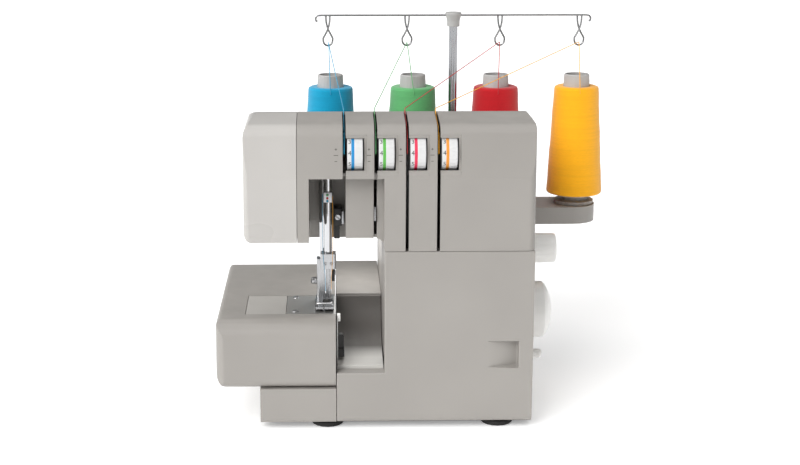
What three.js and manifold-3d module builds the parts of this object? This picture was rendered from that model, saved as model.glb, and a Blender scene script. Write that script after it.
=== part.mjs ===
// Four-thread overlock sewing machine. Millimetres; +X to the operator's right, +Y to the back, +Z up.
// While it is built, X = 0 is the column's left face, Y = 0 the main shaft's line and Z = 0 the table.
// The finished group is moved so that its origin is the middle of its base.
import * as THREE from 'three';
import { mergeVertices } from 'three/addons/utils/BufferGeometryUtils.js';
import Module from 'manifold-3d';

const wasm = await Module();
wasm.setup();

// ---- driving dimensions ----
const gap = 0.4;                  // between neighbouring pieces
const wall = 2.5;                 // plastic covers
const roundSides = 24;            // facets of an ordinary round piece

const columnWidth = 130.6;
const headOverhang = 122;         // head, from the column's left face to its left end
const faceCoverWidth = 46;
const frontReach = 95;            // main shaft line to the front
const rearReach = 100;            // main shaft line to the back
const footHeight = 4.6;
const seamZ = 161;                // joint between the looper cover and the head
const throatZ = 169;              // underside of the overhanging head
const creaseZ = 225;              // where the head's front starts to lean back
const ridgeY = -45;
const rearTopZ = 245;             // the roof falls away to the back
const shoulderLean = 5.5;

const doorDepth = 13;
const notchWidth = 42;            // looper cover's lower part, left of the column
const notchZ = 51;
const hingeInset = 5;             // cover's hinge line, from its front and lower faces
const hingeRodRadius = 1.2;

const bedZ = 98;
const extensionLength = 105.3;
const extensionFloorZ = 37;
const extensionRear = 109;
const extensionRound = 18;
const armFront = -70;
const armRear = -11;
const armLength = 81;
const needlePlateLength = 45;
const plateThickness = 1.6;
const lowerCoverLength = 67;

const shaftZ = 80.5;
const shaftRadius = 5;
const handwheelRadius = 26.3;
const handwheelLength = 28;
const stitchDialZ = 139.7;
const stitchDialRadius = 14;
const stitchDialLength = 31;
const feedLeverZ = 37;
const feedLeverTravel = 10;

const needleX = -49;
const needleY = -38;
const needleBarRadius = 3.5;
const needleStroke = 24;
const clampZ = 132;
const presserX = -53;
const presserY = -26;
const presserBarRadius = 4;
const presserLift = 6;

const slotPitch = 27.1;
const firstSlotX = -35;
const slotWidth = 2.8;
const dialRadius = 16.6;
const dialWidth = 13.4;
const dialProtrusion = 2.5;         // dial's rim, out of the head's front
const windowWidth = 15.8;
const dialHeadroom = 7.9;         // dial's top to the shoulder

const spoolLineY = 134;
const spoolX = [-46.2, 36.1, 119.1, 200.4];
const standDepth = 52;
const standZ = 136.6;
const standHeight = 16.9;
const pinRadius = 4;
const coneHeight = 123;
const coneBaseRadius = 19;
const coneTopRadius = 12.5;
const threadBaseRadius = 27.8;
const threadTopRadius = 22.1;
const mastX = 76;
const mastRadius = 4.3;
const wireZ = 343.7;
const wireRadius = 0.9;
const wireReach = 136.6;
const loopOffsets = [-124.5, -46, 46.4, 125.5];

// ---- derived places ----
const dialZ = creaseZ + wall + 1.4 + dialRadius;
const shoulderZ = dialZ + dialRadius + dialHeadroom;
const ridgeZ = shoulderZ + 6;
const left = -headOverhang;
const right = columnWidth;
const front = -frontReach;
const back = rearReach;
const bodyBottom = footHeight + gap;
const doorBack = front + doorDepth;
const coverTop = seamZ - gap;
const hingeY = front + hingeInset;
const hingeZ = bodyBottom + hingeInset;
const extensionRight = -notchWidth - 0.7;
const extensionLeft = extensionRight - extensionLength;
const armLeft = -notchWidth - armLength;
const plateSeamX = -notchWidth - needlePlateLength;
const standTop = standZ + standHeight;
const standFront = spoolLineY - standDepth / 2;
const seatHeight = 8;
const coneZ = standTop + gap + seatHeight;
const beyond = 400;               // reaches past the whole machine, for cutting boxes

// ---- finishes ----
const paint = (color, roughness, metalness = 0) =>
  () => new THREE.MeshStandardMaterial({ color, roughness, metalness, flatShading: true });
const finish = {
  body: paint(0xb0aca7, 0.4),
  faceCover: paint(0xbebab5, 0.35),
  paleGrey: paint(0xd2d1ce, 0.45),
  darkPlastic: paint(0x2b2b2c, 0.5),
  rubber: paint(0x1b1b1b, 0.85),
  castMetal: paint(0x8b8c8d, 0.55, 0.9),
  steel: paint(0xb9babb, 0.3, 1),
  chrome: paint(0xd9dadb, 0.12, 1),
  core: paint(0xb4b2ae, 0.5),
};
const threadColours = [0x1d9ad0, 0x77bf6e, 0xd0212c, 0xf6ac1c];
const threadNames = ['blue', 'green', 'red', 'yellow'];

// ---- solids ----

// A closed geometry as a manifold solid: shared corners merged, collapsed faces dropped.
function toSolid(geometry) {
  const bare = geometry.clone();
  bare.deleteAttribute('normal');
  bare.deleteAttribute('uv');
  const merged = mergeVertices(bare, 1e-4);
  const corners = merged.index.array;
  const triVerts = [];
  for (let i = 0; i < corners.length; i += 3) {
    const [a, b, c] = [corners[i], corners[i + 1], corners[i + 2]];
    if (a !== b && b !== c && c !== a) {
      triVerts.push(a, b, c);
    }
  }
  return new wasm.Manifold(new wasm.Mesh({
    numProp: 3,
    vertProperties: new Float32Array(merged.attributes.position.array),
    triVerts: new Uint32Array(triVerts),
  }));
}

function toGeometry(solid) {
  const mesh = solid.getMesh();
  const geometry = new THREE.BufferGeometry();
  geometry.setAttribute('position', new THREE.BufferAttribute(mesh.vertProperties, 3));
  geometry.setIndex(new THREE.BufferAttribute(mesh.triVerts, 1));
  geometry.computeVertexNormals();
  return geometry;
}

// An outline's points from corners [u, v, radius]: a corner with a radius becomes an arc.
function outline(corners) {
  const points = [];
  corners.forEach(([u, v, radius = 0], i) => {
    const corner = new THREE.Vector2(u, v);
    if (radius === 0) {
      points.push(corner);
      return;
    }
    const [pu, pv] = corners[(i + corners.length - 1) % corners.length];
    const [nu, nv] = corners[(i + 1) % corners.length];
    const toPrevious = new THREE.Vector2(pu - u, pv - v).normalize();
    const toNext = new THREE.Vector2(nu - u, nv - v).normalize();
    const half = Math.acos(THREE.MathUtils.clamp(toPrevious.dot(toNext), -1, 1)) / 2;
    const reach = radius / Math.tan(half);
    const bisector = toPrevious.clone().add(toNext).normalize();
    const centre = corner.clone().addScaledVector(bisector, radius / Math.sin(half));
    const start = corner.clone().addScaledVector(toPrevious, reach).sub(centre).angle();
    const end = corner.clone().addScaledVector(toNext, reach).sub(centre).angle();
    let turn = end - start;
    turn -= Math.round(turn / (2 * Math.PI)) * 2 * Math.PI;
    const steps = Math.max(1, Math.ceil(Math.abs(turn) / (Math.PI / 9)));
    for (let k = 0; k <= steps; k += 1) {
      const angle = start + (turn * k) / steps;
      points.push(new THREE.Vector2(Math.cos(angle), Math.sin(angle)).multiplyScalar(radius).add(centre));
    }
  });
  return points;
}

function extrude(corners, depth) {
  return new THREE.ExtrudeGeometry(new THREE.Shape(outline(corners)), { depth, bevelEnabled: false });
}

// Prisms along each axis. Outlines are in (Y, Z), (X, Z) and (X, Y).
function prismX(corners, x0, x1) {
  const turn = new THREE.Matrix4().makeBasis(
    new THREE.Vector3(0, 1, 0), new THREE.Vector3(0, 0, 1), new THREE.Vector3(1, 0, 0));
  return toSolid(extrude(corners, x1 - x0).applyMatrix4(turn).translate(x0, 0, 0));
}

function prismY(corners, y0, y1) {
  return toSolid(extrude(corners, y1 - y0).rotateX(Math.PI / 2).translate(0, y1, 0));
}

function prismZ(corners, z0, z1) {
  return toSolid(extrude(corners, z1 - z0).translate(0, 0, z0));
}

function box(x0, x1, y0, y1, z0, z1) {
  const geometry = new THREE.BoxGeometry(x1 - x0, y1 - y0, z1 - z0);
  return toSolid(geometry.translate((x0 + x1) / 2, (y0 + y1) / 2, (z0 + z1) / 2));
}

// Round bars along each axis; a and b are the other two coordinates of the bar's axis.
function rodX(radius, x0, x1, a, b, sides = roundSides) {
  const geometry = new THREE.CylinderGeometry(radius, radius, x1 - x0, sides).rotateZ(Math.PI / 2);
  return toSolid(geometry.translate((x0 + x1) / 2, a, b));
}

function rodY(radius, y0, y1, a, b, sides = roundSides) {
  const geometry = new THREE.CylinderGeometry(radius, radius, y1 - y0, sides);
  return toSolid(geometry.translate(a, (y0 + y1) / 2, b));
}

function rodZ(radius, z0, z1, a, b, sides = roundSides) {
  const geometry = new THREE.CylinderGeometry(radius, radius, z1 - z0, sides).rotateX(Math.PI / 2);
  return toSolid(geometry.translate(a, b, (z0 + z1) / 2));
}

// A turned piece about +Z from its profile [radius, z].
function turned(profile, sides = roundSides) {
  const points = profile.map(([r, z]) => new THREE.Vector2(r, z));
  return toSolid(new THREE.LatheGeometry(points, sides).rotateX(Math.PI / 2));
}

function union(...solids) {
  return solids.reduce((sum, next) => sum.add(next));
}

function cut(solid, ...tools) {
  return tools.reduce((rest, tool) => rest.subtract(tool), solid);
}

// A path that runs straight from one chosen point to the next, with one step at each point.
class PointPath extends THREE.Curve {
  constructor(points) {
    super();
    this.points = points;
  }

  getPoint(t, target = new THREE.Vector3()) {
    const place = Math.min(t * (this.points.length - 1), this.points.length - 1 - 1e-9);
    const i = Math.floor(place);
    return target.lerpVectors(this.points[i], this.points[i + 1], place - i);
  }

  getPointAt(u, target) {
    return this.getPoint(u, target);
  }

  getSpacedPoints(divisions) {
    return Array.from({ length: divisions + 1 }, (_, i) => this.getPoint(i / divisions));
  }

  getTangentAt(u, target = new THREE.Vector3()) {
    const i = Math.round(u * (this.points.length - 1));
    const before = this.points[Math.max(i - 1, 0)];
    const after = this.points[Math.min(i + 1, this.points.length - 1)];
    return target.subVectors(after, before).normalize();
  }
}

function tube(points, radius, sides) {
  const section = new THREE.Shape(Array.from({ length: sides }, (_, i) => {
    const angle = (2 * Math.PI * i) / sides;
    return new THREE.Vector2(radius * Math.cos(angle), radius * Math.sin(angle));
  }));
  const extrudePath = new PointPath(points);
  const options = { extrudePath, steps: points.length - 1, bevelEnabled: false };
  return toSolid(new THREE.ExtrudeGeometry(section, options));
}

// ---- assembly ----
const machine = new THREE.Group();

function add(name, solid, makeMaterial, position = [0, 0, 0]) {
  const mesh = new THREE.Mesh(toGeometry(solid), makeMaterial());
  mesh.name = name;
  mesh.position.set(...position);
  machine.add(mesh);
}

// ---- body shell: one rounded block for column and head, hollowed and parted into covers ----
const recess = { x0: -65.6, x1: -33.6, shallowX: -0.5, back: -16, shallowBack: -78 };
const rounding = { rear: 14, ridge: 30, shoulder: 13, columnTop: 8, headTop: 16, throat: 7, column: 8, plan: 6 };
const moreAtTheBack = 8;          // rear upright corners, over the front ones

// The column and head as a solid block whose faces lie inset inside the outer skin.
function bodyBlock(inset) {
  const bottom = inset > 0 ? bodyBottom - 1 : bodyBottom;
  const top = ridgeZ - inset;
  const side = prismX([
    [front + inset, bottom],
    [back - inset, bottom],
    [back - inset, rearTopZ - inset, rounding.rear],
    [ridgeY, top, rounding.ridge],
    [front + shoulderLean + inset, shoulderZ - inset, rounding.shoulder],
    [front + inset, creaseZ],
  ], left - 1, right + 1);
  const face = prismY([
    [inset, bottom],
    [right - inset, bottom],
    [right - inset, top, rounding.columnTop],
    [left + inset, top, rounding.headTop],
    [left + inset, throatZ + inset, rounding.throat],
    [inset, throatZ + inset, rounding.column],
  ], front - 1, back + 1);
  const corner = rounding.plan - inset;
  const plan = prismZ([
    [left + inset, front + inset, corner],
    [right - inset, front + inset, corner],
    [right - inset, back - inset, corner + moreAtTheBack],
    [left + inset, back - inset, corner + moreAtTheBack],
  ], 0, beyond);
  return side.intersect(face).intersect(plan);
}

// The hollow in front of the needle bar and the shallower step beside it, grown by a margin.
function needleRecess(margin) {
  const floor = throatZ - 5;
  const deep = box(recess.x0 - margin, recess.x1 + margin, front - 5, recess.back + margin,
    floor, creaseZ + margin);
  const shallow = box(recess.x1 - margin, recess.shallowX + margin, front - 5, recess.shallowBack + margin,
    floor, creaseZ + margin);
  return deep.add(shallow);
}

const slotX = (k) => firstSlotX + slotPitch * k;
const slotDepth = shoulderLean + 8;
const slotRoof = shoulderZ - 12;  // slot's floor where it crosses the shoulder
const slotEnd = ridgeY + 3;
const slotFloor = [creaseZ, throatZ + 1, seamZ - 1, seamZ - 1];
const dialY = front + shoulderLean / 2 + dialRadius - dialProtrusion;
const rimDepth = dialProtrusion + wall + 2.4;     // where the window's edges clear the dial's rim
const windowHalf = Math.sqrt(dialRadius ** 2 - (dialRadius - rimDepth) ** 2);
const windowX = (k) => slotX(k) + slotWidth / 2;

// A thread slot: down the front face, over the ridge, and the dial's window beside it.
function slotAndWindow(k) {
  const x0 = slotX(k) - slotWidth / 2;
  const x1 = slotX(k) + slotWidth / 2;
  const slot = prismX([
    [front - 1, slotFloor[k]],
    [front + slotDepth, slotFloor[k]],
    [front + slotDepth, slotRoof],
    [slotEnd, slotRoof],
    [slotEnd, ridgeZ + 1],
    [front - 1, ridgeZ + 1],
  ], x0, x1);
  const opening = box(x1 - 0.1, windowX(k) + windowWidth, front - 1, dialY,
    dialZ - windowHalf, dialZ + windowHalf);
  return slot.add(opening);
}

const shell = (() => {
  const outer = bodyBlock(0).subtract(needleRecess(0));
  const inner = bodyBlock(wall).subtract(needleRecess(wall));
  const holes = [0, 1, 2, 3].map(slotAndWindow);
  const panelSlot = box(slotX(1) - slotWidth / 2, slotX(1) + slotWidth / 2,
    recess.shallowBack - 1, recess.shallowBack + wall + 1, throatZ - 1, creaseZ - 4);
  const roof = creaseZ - 1;
  const barHoles = [
    rodZ(needleBarRadius + gap, roof, roof + wall + 2, needleX, needleY),
    rodZ(presserBarRadius + gap, roof, roof + wall + 2, presserX, presserY),
  ];
  return cut(outer.subtract(inner), ...holes, panelSlot, ...barHoles);
})();

const splitY = 20;
const faceSeamX = left + faceCoverWidth;

add('head_cover', shell.intersect(
  box(faceSeamX + gap, beyond, -beyond, splitY, seamZ, beyond)), finish.body);

add('face_cover', shell.intersect(
  box(-beyond, faceSeamX, -beyond, splitY, seamZ, beyond)), finish.faceCover);

// ---- rear cover: the column's walls behind the looper cover, and the head's back ----
const switchPlace = { y: 50, z: 60, halfY: 9.4, halfZ: 6.4 };
const inletPlace = { y: 74, z: 60, halfY: 8, halfZ: 8 };
const lifterPivot = { x: -30, z: 184, radius: 4 };

add('rear_cover', (() => {
  const column = box(-beyond, beyond, doorBack + gap, beyond, 0, coverTop);
  const head = box(-beyond, beyond, splitY + gap, beyond, 0, beyond);
  const inside = right - wall - 1;
  const outside = right + 1;
  const coverSwing = Math.hypot(doorDepth - hingeInset, hingeInset) + gap;
  const underBed = box(-1, wall + gap, -beyond, back - wall, 0, extensionFloorZ + 25);
  return cut(
    shell.intersect(column.add(head)),
    underBed,
    rodX(coverSwing, -1, outside, hingeY, hingeZ, 48),
    rodX(shaftRadius + 3, inside, outside, 0, shaftZ),
    rodX(4 + gap, inside, outside, 0, stitchDialZ),
    box(inside, outside, -feedLeverTravel - 4, feedLeverTravel + 4, feedLeverZ - 2.5, feedLeverZ + 2.5),
    box(inside, outside, switchPlace.y - switchPlace.halfY - 1, switchPlace.y + switchPlace.halfY + 1,
      switchPlace.z - switchPlace.halfZ - 1, switchPlace.z + switchPlace.halfZ + 1),
    box(inside, outside, inletPlace.y - inletPlace.halfY - gap, inletPlace.y + inletPlace.halfY + gap,
      inletPlace.z - inletPlace.halfZ - gap, inletPlace.z + inletPlace.halfZ + gap),
    rodY(lifterPivot.radius + gap, back - wall - 1, back + 1, lifterPivot.x, lifterPivot.z),
  );
})(), finish.body);

// ---- looper cover: slides right on its hinge frame, then tips forward about the hinge rod ----
const fingerRecess = { x0: 90, x1: 118, z0: 55, z1: 79, depth: 8 };

add('looper_cover', (() => {
  const panel = (inset, y0, y1, low) => prismY([
    [-notchWidth + inset, low],
    [right - inset, low],
    [right - inset, coverTop - inset],
    [inset, coverTop - inset],
    [inset, notchZ - inset],
    [-notchWidth + inset, notchZ - inset],
  ], y0, y1);
  const edges = prismX([
    [front, bodyBottom, hingeInset],
    [doorBack, bodyBottom],
    [doorBack, coverTop],
    [front, coverTop],
  ], -beyond, beyond);
  const block = panel(0, front, doorBack, bodyBottom).intersect(edges);
  const hollow = panel(wall, front + wall, doorBack + 1, bodyBottom - 1);
  const { x0, x1, z0, z1, depth } = fingerRecess;
  const pocketWall = prismZ([
    [x0 - 3, front + 1],
    [x1 + wall, front + 1],
    [x1 + wall, front + depth + wall],
    [x1 - 4, front + depth + wall],
  ], z0 - wall, z1 + wall);
  const pocket = prismZ([
    [x0, front - 1],
    [x1, front - 1],
    [x1, front + depth],
    [x1 - 3, front + depth],
    [x0, front],
  ], z0, z1);
  return cut(block.subtract(hollow).add(pocketWall), pocket);
})(), finish.body);

const earX = [-26, 108];
const earThickness = 3;

add('cover_hinge_rod', rodX(hingeRodRadius, earX[0] - 2, earX[1] + earThickness + 2, hingeY, hingeZ, 12),
  finish.steel);

// ---- waste chute: a quarter-ellipse trough, with a leg down to the hinge rod ----
const chute = { rear: armRear - 2.4, frontY: -80, lowZ: 54, rightX: -gap, leftX: -notchWidth + gap };
const chuteWall = 2.2;

// Points of a quarter ellipse from the chute's rear top to its low front, grown by a margin.
function chuteArc(margin) {
  const steps = 8;
  return Array.from({ length: steps + 1 }, (_, i) => {
    const angle = (Math.PI / 2) * (i / steps);
    const y = chute.frontY + (chute.rear - chute.frontY + margin) * Math.cos(angle);
    const z = bedZ - (bedZ - chute.lowZ + margin) * Math.sin(angle);
    return [y, z];
  });
}

add('waste_chute', (() => {
  const legFront = doorBack + gap;
  const legBack = legFront + chuteWall;
  const trough = prismX([
    ...chuteArc(0),
    [legFront, chute.lowZ],
    [legFront, hingeZ + 6],
    [legBack, hingeZ + 6],
    [legBack, chute.lowZ - chuteWall],
    ...chuteArc(chuteWall).reverse().slice(1),
  ], chute.leftX, chute.rightX);
  const arm = prismX([
    [hingeY + 2.5, hingeZ + 0.6],
    [hingeY + 4.5, hingeZ + 0.6],
    [legBack, hingeZ + 6],
    [legBack, hingeZ + 9],
    [legFront, hingeZ + 9],
  ], chute.leftX + 20, chute.leftX + 34);
  return trough.add(arm);
})(), finish.body);

add('finger_lever', (() => {
  const floor = chute.lowZ + 4;
  const block = box(-41, -35, -71, -60, floor, floor + 7);
  const knob = prismY([[-41, floor + 6], [-35.4, floor + 6], [-35.4, floor + 20, 2], [-41, floor + 20, 2]],
    -68, -62);
  return block.add(knob);
})(), finish.darkPlastic);

// ---- bed ----
add('bed_strip', (() => {
  const x0 = -notchWidth + gap;
  const x1 = -gap;
  const y0 = armRear + 0.6;
  const top = prismX([
    [y0, bedZ - 0.7],
    [extensionRear - 6, bedZ - 0.7],
    [extensionRear, bedZ - 0.7],
    [extensionRear, bedZ + 2, 2.4],
    [y0, bedZ + 2, 1],
  ], x0, x1);
  const rearWall = box(x0, x1, extensionRear - wall, extensionRear, bodyBottom, bedZ);
  const sideWall = box(x0, x0 + wall, y0, extensionRear, extensionFloorZ, bedZ);
  return union(top, rearWall, sideWall);
})(), finish.body);

add('lower_left_cover', (() => {
  const x0 = -notchWidth - gap - lowerCoverLength;
  const x1 = -notchWidth - gap;
  const top = extensionFloorZ - gap;
  const block = (inset, bottom) => prismX([
    [front + inset, bottom, inset > 0 ? 0 : 4],
    [extensionRear - 5 - inset, bottom],
    [extensionRear - 5 - inset, top - inset],
    [front + inset, top - inset],
  ], x0 + inset, inset > 0 ? x1 + 1 : x1);
  return block(0, bodyBottom).subtract(block(wall, bodyBottom - 1));
})(), finish.body);

add('free_arm', (() => {
  const x0 = armLeft + gap;
  const x1 = -notchWidth - gap;
  const y0 = armFront + gap;
  const y1 = armRear - gap;
  const floor = extensionFloorZ + 4;
  const block = box(x0, x1, y0, y1, floor, bedZ - 0.2);
  const hollow = box(x0 + wall, x1 + 1, y0 + wall, y1 - wall, floor + wall, bedZ - wall);
  const plateWindow = box(plateSeamX + wall, x1 + 1, y0 + wall, y1 - wall, floor + wall, bedZ + 1);
  const plateSeat = box(plateSeamX, x1 + 1, y0 - 1, y1 + 1, bedZ - 0.2 - plateThickness - gap, bedZ + 1);
  return cut(block, hollow, plateWindow, plateSeat);
})(), finish.body);

add('needle_plate', (() => {
  const top = bedZ - 0.2;
  const plate = box(plateSeamX + gap, -notchWidth - gap, armFront + gap, armRear - gap,
    top - plateThickness, top);
  const needleHole = box(needleX - 5.5, needleX + 4.5, needleY - 7, needleY + 4, top - 3, top + 1);
  const feedSlots = [needleX - 12, needleX - 8.6].map(
    (x) => box(x, x + 2, needleY - 20, needleY + 14, top - 3, top + 1));
  return cut(plate, needleHole, ...feedSlots);
})(), finish.steel);

add('bed_extension', (() => {
  const block = (inset) => {
    const openEnd = inset > 0 ? extensionRight + 5 : extensionRight;
    const side = prismX([
      [front + inset, extensionFloorZ + inset, 8 - inset],
      [extensionRear - inset, extensionFloorZ + inset, 8 - inset],
      [extensionRear - inset, bedZ - inset, 8 - inset],
      [front + inset, bedZ - inset, extensionRound - inset],
    ], extensionLeft - 1, extensionRight + 6);
    const face = prismY([
      [extensionLeft + inset, extensionFloorZ + inset, 12 - inset],
      [openEnd, extensionFloorZ + inset],
      [openEnd, bedZ - inset],
      [extensionLeft + inset, bedZ - inset, 6 - inset],
    ], front - 1, extensionRear + 1);
    const plan = prismZ([
      [extensionLeft + inset, front + inset, 10 - inset],
      [openEnd, front + inset],
      [openEnd, extensionRear - inset],
      [extensionLeft + inset, extensionRear - inset, 10 - inset],
    ], 0, bedZ + 1);
    return side.intersect(face).intersect(plan);
  };
  const armSlot = box(armLeft, extensionRight + 1, armFront, armRear, bedZ - wall - 1, bedZ + 1);
  return cut(block(0), block(wall), armSlot);
})(), finish.body);

// ---- base, feet and frame ----
const footPlaces = [
  ['foot_front_left', -50, front + 17],
  ['foot_front_right', 101, front + 17],
  ['foot_rear_left', -50, back - 20],
  ['foot_rear_right', 101, back - 20],
];
const footRadius = 14.5;
const studRadius = 3;
const panTop = bodyBottom + 3;
const frameFloor = panTop + gap;

add('base_pan', (() => {
  const inset = wall + gap;
  const x0 = -notchWidth - gap - lowerCoverLength + inset;
  const plate = prismZ([
    [x0, doorBack + 5],
    [right - inset, doorBack + 5],
    [right - inset, back - inset, 14],
    [x0, back - inset],
  ], bodyBottom, panTop);
  const footTabs = footPlaces.slice(0, 2).map(
    ([, x]) => box(x - 5, x + 5, front + 12, doorBack + 6, bodyBottom, panTop));
  const ears = earX.map((x) => union(
    rodX(hingeInset - wall - 0.2, x, x + earThickness, hingeY, hingeZ, 16),
    box(x, x + earThickness, hingeY, doorBack + 8, hingeZ + 0.5, hingeZ + 3.5),
    box(x, x + earThickness, doorBack + 5.2, doorBack + 8, bodyBottom, hingeZ + 3.5),
  ));
  const rodHole = rodX(hingeRodRadius + 0.35, -beyond, beyond, hingeY, hingeZ, 12);
  const studHoles = footPlaces.map(([, x, y]) => rodZ(studRadius + gap, 0, 20, x, y, 12));
  return cut(union(plate, ...footTabs, ...ears), rodHole, ...studHoles);
})(), finish.darkPlastic);

for (const [name, x, y] of footPlaces) {
  add(name, turned([
    [0, 0], [footRadius - 1, 0], [footRadius, 1], [footRadius, footHeight - 1],
    [footRadius - 1, footHeight], [studRadius, footHeight], [studRadius, panTop - 0.2], [0, panTop - 0.2],
  ], 16), finish.rubber, [x, y, 0]);
}

const frameTop = creaseZ + wall + 5;
const frameDepth = 16;
const frameRibs = [20, 98];

add('frame_casting', (() => {
  const base = box(-95, right - 10, -20, back - 6, frameFloor, frameFloor + 5);
  const ribs = frameRibs.map((x) => box(x, x + 8, -30, 30, frameFloor, frameTop + frameDepth));
  const arm = box(needleX - 13, frameRibs[1] + 8, 0, 14, frameTop, frameTop + frameDepth);
  const boss = box(needleX - 13, needleX + 9, needleY - 8, 6, frameTop, frameTop + 12);
  const armBeam = box(armLeft + 8, 28, armRear - 18, armRear - 6, 46, 58);
  const studClearance = footPlaces.map(([, x, y]) => rodZ(studRadius + 2, 0, 9.5, x, y, 12));
  return cut(
    union(base, ...ribs, arm, boss, armBeam),
    rodX(shaftRadius + gap, 0, 130, 0, shaftZ),
    rodZ(needleBarRadius + gap, frameTop - 1, frameTop + 20, needleX, needleY),
    rodZ(presserBarRadius + gap, frameTop - 1, frameTop + 20, presserX, presserY),
    ...studClearance,
  );
})(), finish.castMetal);

// ---- drive ----
const pulleyX = right - 20;
const pulleyWidth = 8;
const pulleyRadius = 24;
const motor = { y: 62, z: 45, radius: 26, pulleyRadius: 8 };

add('main_shaft', rodX(shaftRadius, 12, right + 5, 0, shaftZ)
  .add(rodX(pulleyRadius, pulleyX, pulleyX + pulleyWidth, 0, shaftZ, 32)), finish.steel);

add('motor', rodX(motor.radius, 40, pulleyX - 14, motor.y, motor.z)
  .add(rodX(8, 34, pulleyX - 8, motor.y, motor.z)), finish.castMetal);

add('motor_pulley', rodX(motor.pulleyRadius, pulleyX, pulleyX + pulleyWidth, motor.y, motor.z)
  .add(rodX(2.5, pulleyX - 7.6, pulleyX, motor.y, motor.z, 12)), finish.steel);

add('drive_belt', (() => {
  // The belt's edge as the hull of two circles: the arcs face away from each other.
  const loop = (margin) => {
    const spanY = motor.y;
    const spanZ = motor.z - shaftZ;
    const span = Math.hypot(spanY, spanZ);
    const heading = Math.atan2(spanZ, spanY);
    const lean = Math.acos((pulleyRadius - motor.pulleyRadius) / span);
    const arc = (y, z, radius, from, to) => Array.from({ length: 13 }, (_, i) => {
      const angle = from + ((to - from) * i) / 12;
      return [y + radius * Math.cos(angle), z + radius * Math.sin(angle)];
    });
    return [
      ...arc(0, shaftZ, pulleyRadius + margin, heading + lean, heading + 2 * Math.PI - lean),
      ...arc(motor.y, motor.z, motor.pulleyRadius + margin, heading - lean, heading + lean),
    ];
  };
  const outer = prismX(loop(gap + 2), pulleyX + 1, pulleyX + pulleyWidth - 1);
  const inner = prismX(loop(gap), pulleyX, pulleyX + pulleyWidth);
  return outer.subtract(inner);
})(), finish.rubber);

const knobClearance = 0.6;        // from the column's right side

// A knob or wheel turned about +Z, laid along +X from the column's right side.
function alongX(profile, y, z, sides) {
  return turned(profile, sides).rotate([0, 90, 0]).translate([right + knobClearance, y, z]);
}

add('handwheel', (() => {
  const r = handwheelRadius;
  const h = handwheelLength;
  const bore = shaftRadius + 0.3;
  return alongX([
    [bore, 0], [r - 1.5, 0], [r, 1.5], [r, h - 8], [r - 2, h - 6], [r - 6, h - 4],
    [r * 0.5, h - 1], [0, h], [0, 5], [bore, 5], [bore, 0],
  ], 0, shaftZ, 32);
})(), finish.paleGrey);

add('stitch_length_dial', (() => {
  const r = stitchDialRadius;
  const h = stitchDialLength;
  return alongX([[0, -9], [4, -9], [4, 0], [r - 1, 0], [r, 1], [r, h - 3], [r - 2, h], [0, h]],
    0, stitchDialZ, 28);
})(), finish.paleGrey);

add('feed_lever', alongX([[0, -8], [6, -8], [6, -4], [2, -4], [2, 0], [4.3, 0], [4.5, 18], [3, 20.4], [0, 20.4]],
  0, feedLeverZ, 16), finish.paleGrey);

add('power_switch', (() => {
  const { y, z, halfY, halfZ } = switchPlace;
  return prismZ([
    [right - 5, y - halfY],
    [right + 1.2, y - halfY],
    [right + 0.2, y],
    [right + 1.2, y + halfY],
    [right - 5, y + halfY],
  ], z - halfZ, z + halfZ);
})(), finish.darkPlastic);

add('power_inlet', (() => {
  const { y, z, halfY, halfZ } = inletPlace;
  const block = box(right - 12.5, right - 0.3, y - halfY, y + halfY, z - halfZ, z + halfZ);
  const socket = box(right - 9.5, right + 1, y - halfY + 1.6, y + halfY - 1.6, z - halfZ + 3, z + halfZ - 3);
  return block.subtract(socket);
})(), finish.darkPlastic);

// ---- tension dials ----
for (let k = 0; k < 4; k += 1) {
  const x0 = windowX(k) + 1.2;
  const hub = 4;
  const solid = rodX(dialRadius, x0, x0 + dialWidth, dialY, dialZ, 32)
    .subtract(rodX(hub, x0 + 5, x0 + dialWidth + 1, dialY, dialZ, 12));
  add(`tension_dial_${threadNames[k]}`, solid, finish.paleGrey);
}

// ---- needle bar and presser bar ----
add('needle_bar', rodZ(needleBarRadius, clampZ + 8, shoulderZ - 8, needleX, needleY, 20), finish.chrome);

const needles = [[needleX - 2.5, needleY - 2, 106], [needleX + 2.5, needleY - 2, 108]];
const needleRadius = 0.6;

add('needle_clamp', (() => {
  const block = prismZ([
    [needleX - 7, needleY - 7, 2],
    [needleX + 7, needleY - 7, 2],
    [needleX + 7, needleY + 5.5, 2],
    [needleX - 7, needleY + 5.5, 2],
  ], clampZ, clampZ + 14);
  const barHole = rodZ(needleBarRadius + 0.3, clampZ + 7.6, clampZ + 20, needleX, needleY, 20);
  const needleHoles = needles.map(([x, y]) => rodZ(needleRadius + 0.3, clampZ - 1, clampZ + 6.4, x, y, 10));
  return cut(block, barHole, ...needleHoles);
})(), finish.steel);

['needle_left', 'needle_right'].forEach((name, i) => {
  const [x, y, tip] = needles[i];
  const length = clampZ + 6 - tip;
  add(name, turned([[0, 0], [needleRadius, 5], [needleRadius, length], [0, length]], 10),
    finish.chrome, [x, y, tip]);
});

const soleZ = bedZ + 0.3;
const shankTop = 138;

add('presser_bar', rodZ(presserBarRadius, 114, shoulderZ - 16, presserX, presserY, 20), finish.chrome);

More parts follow.
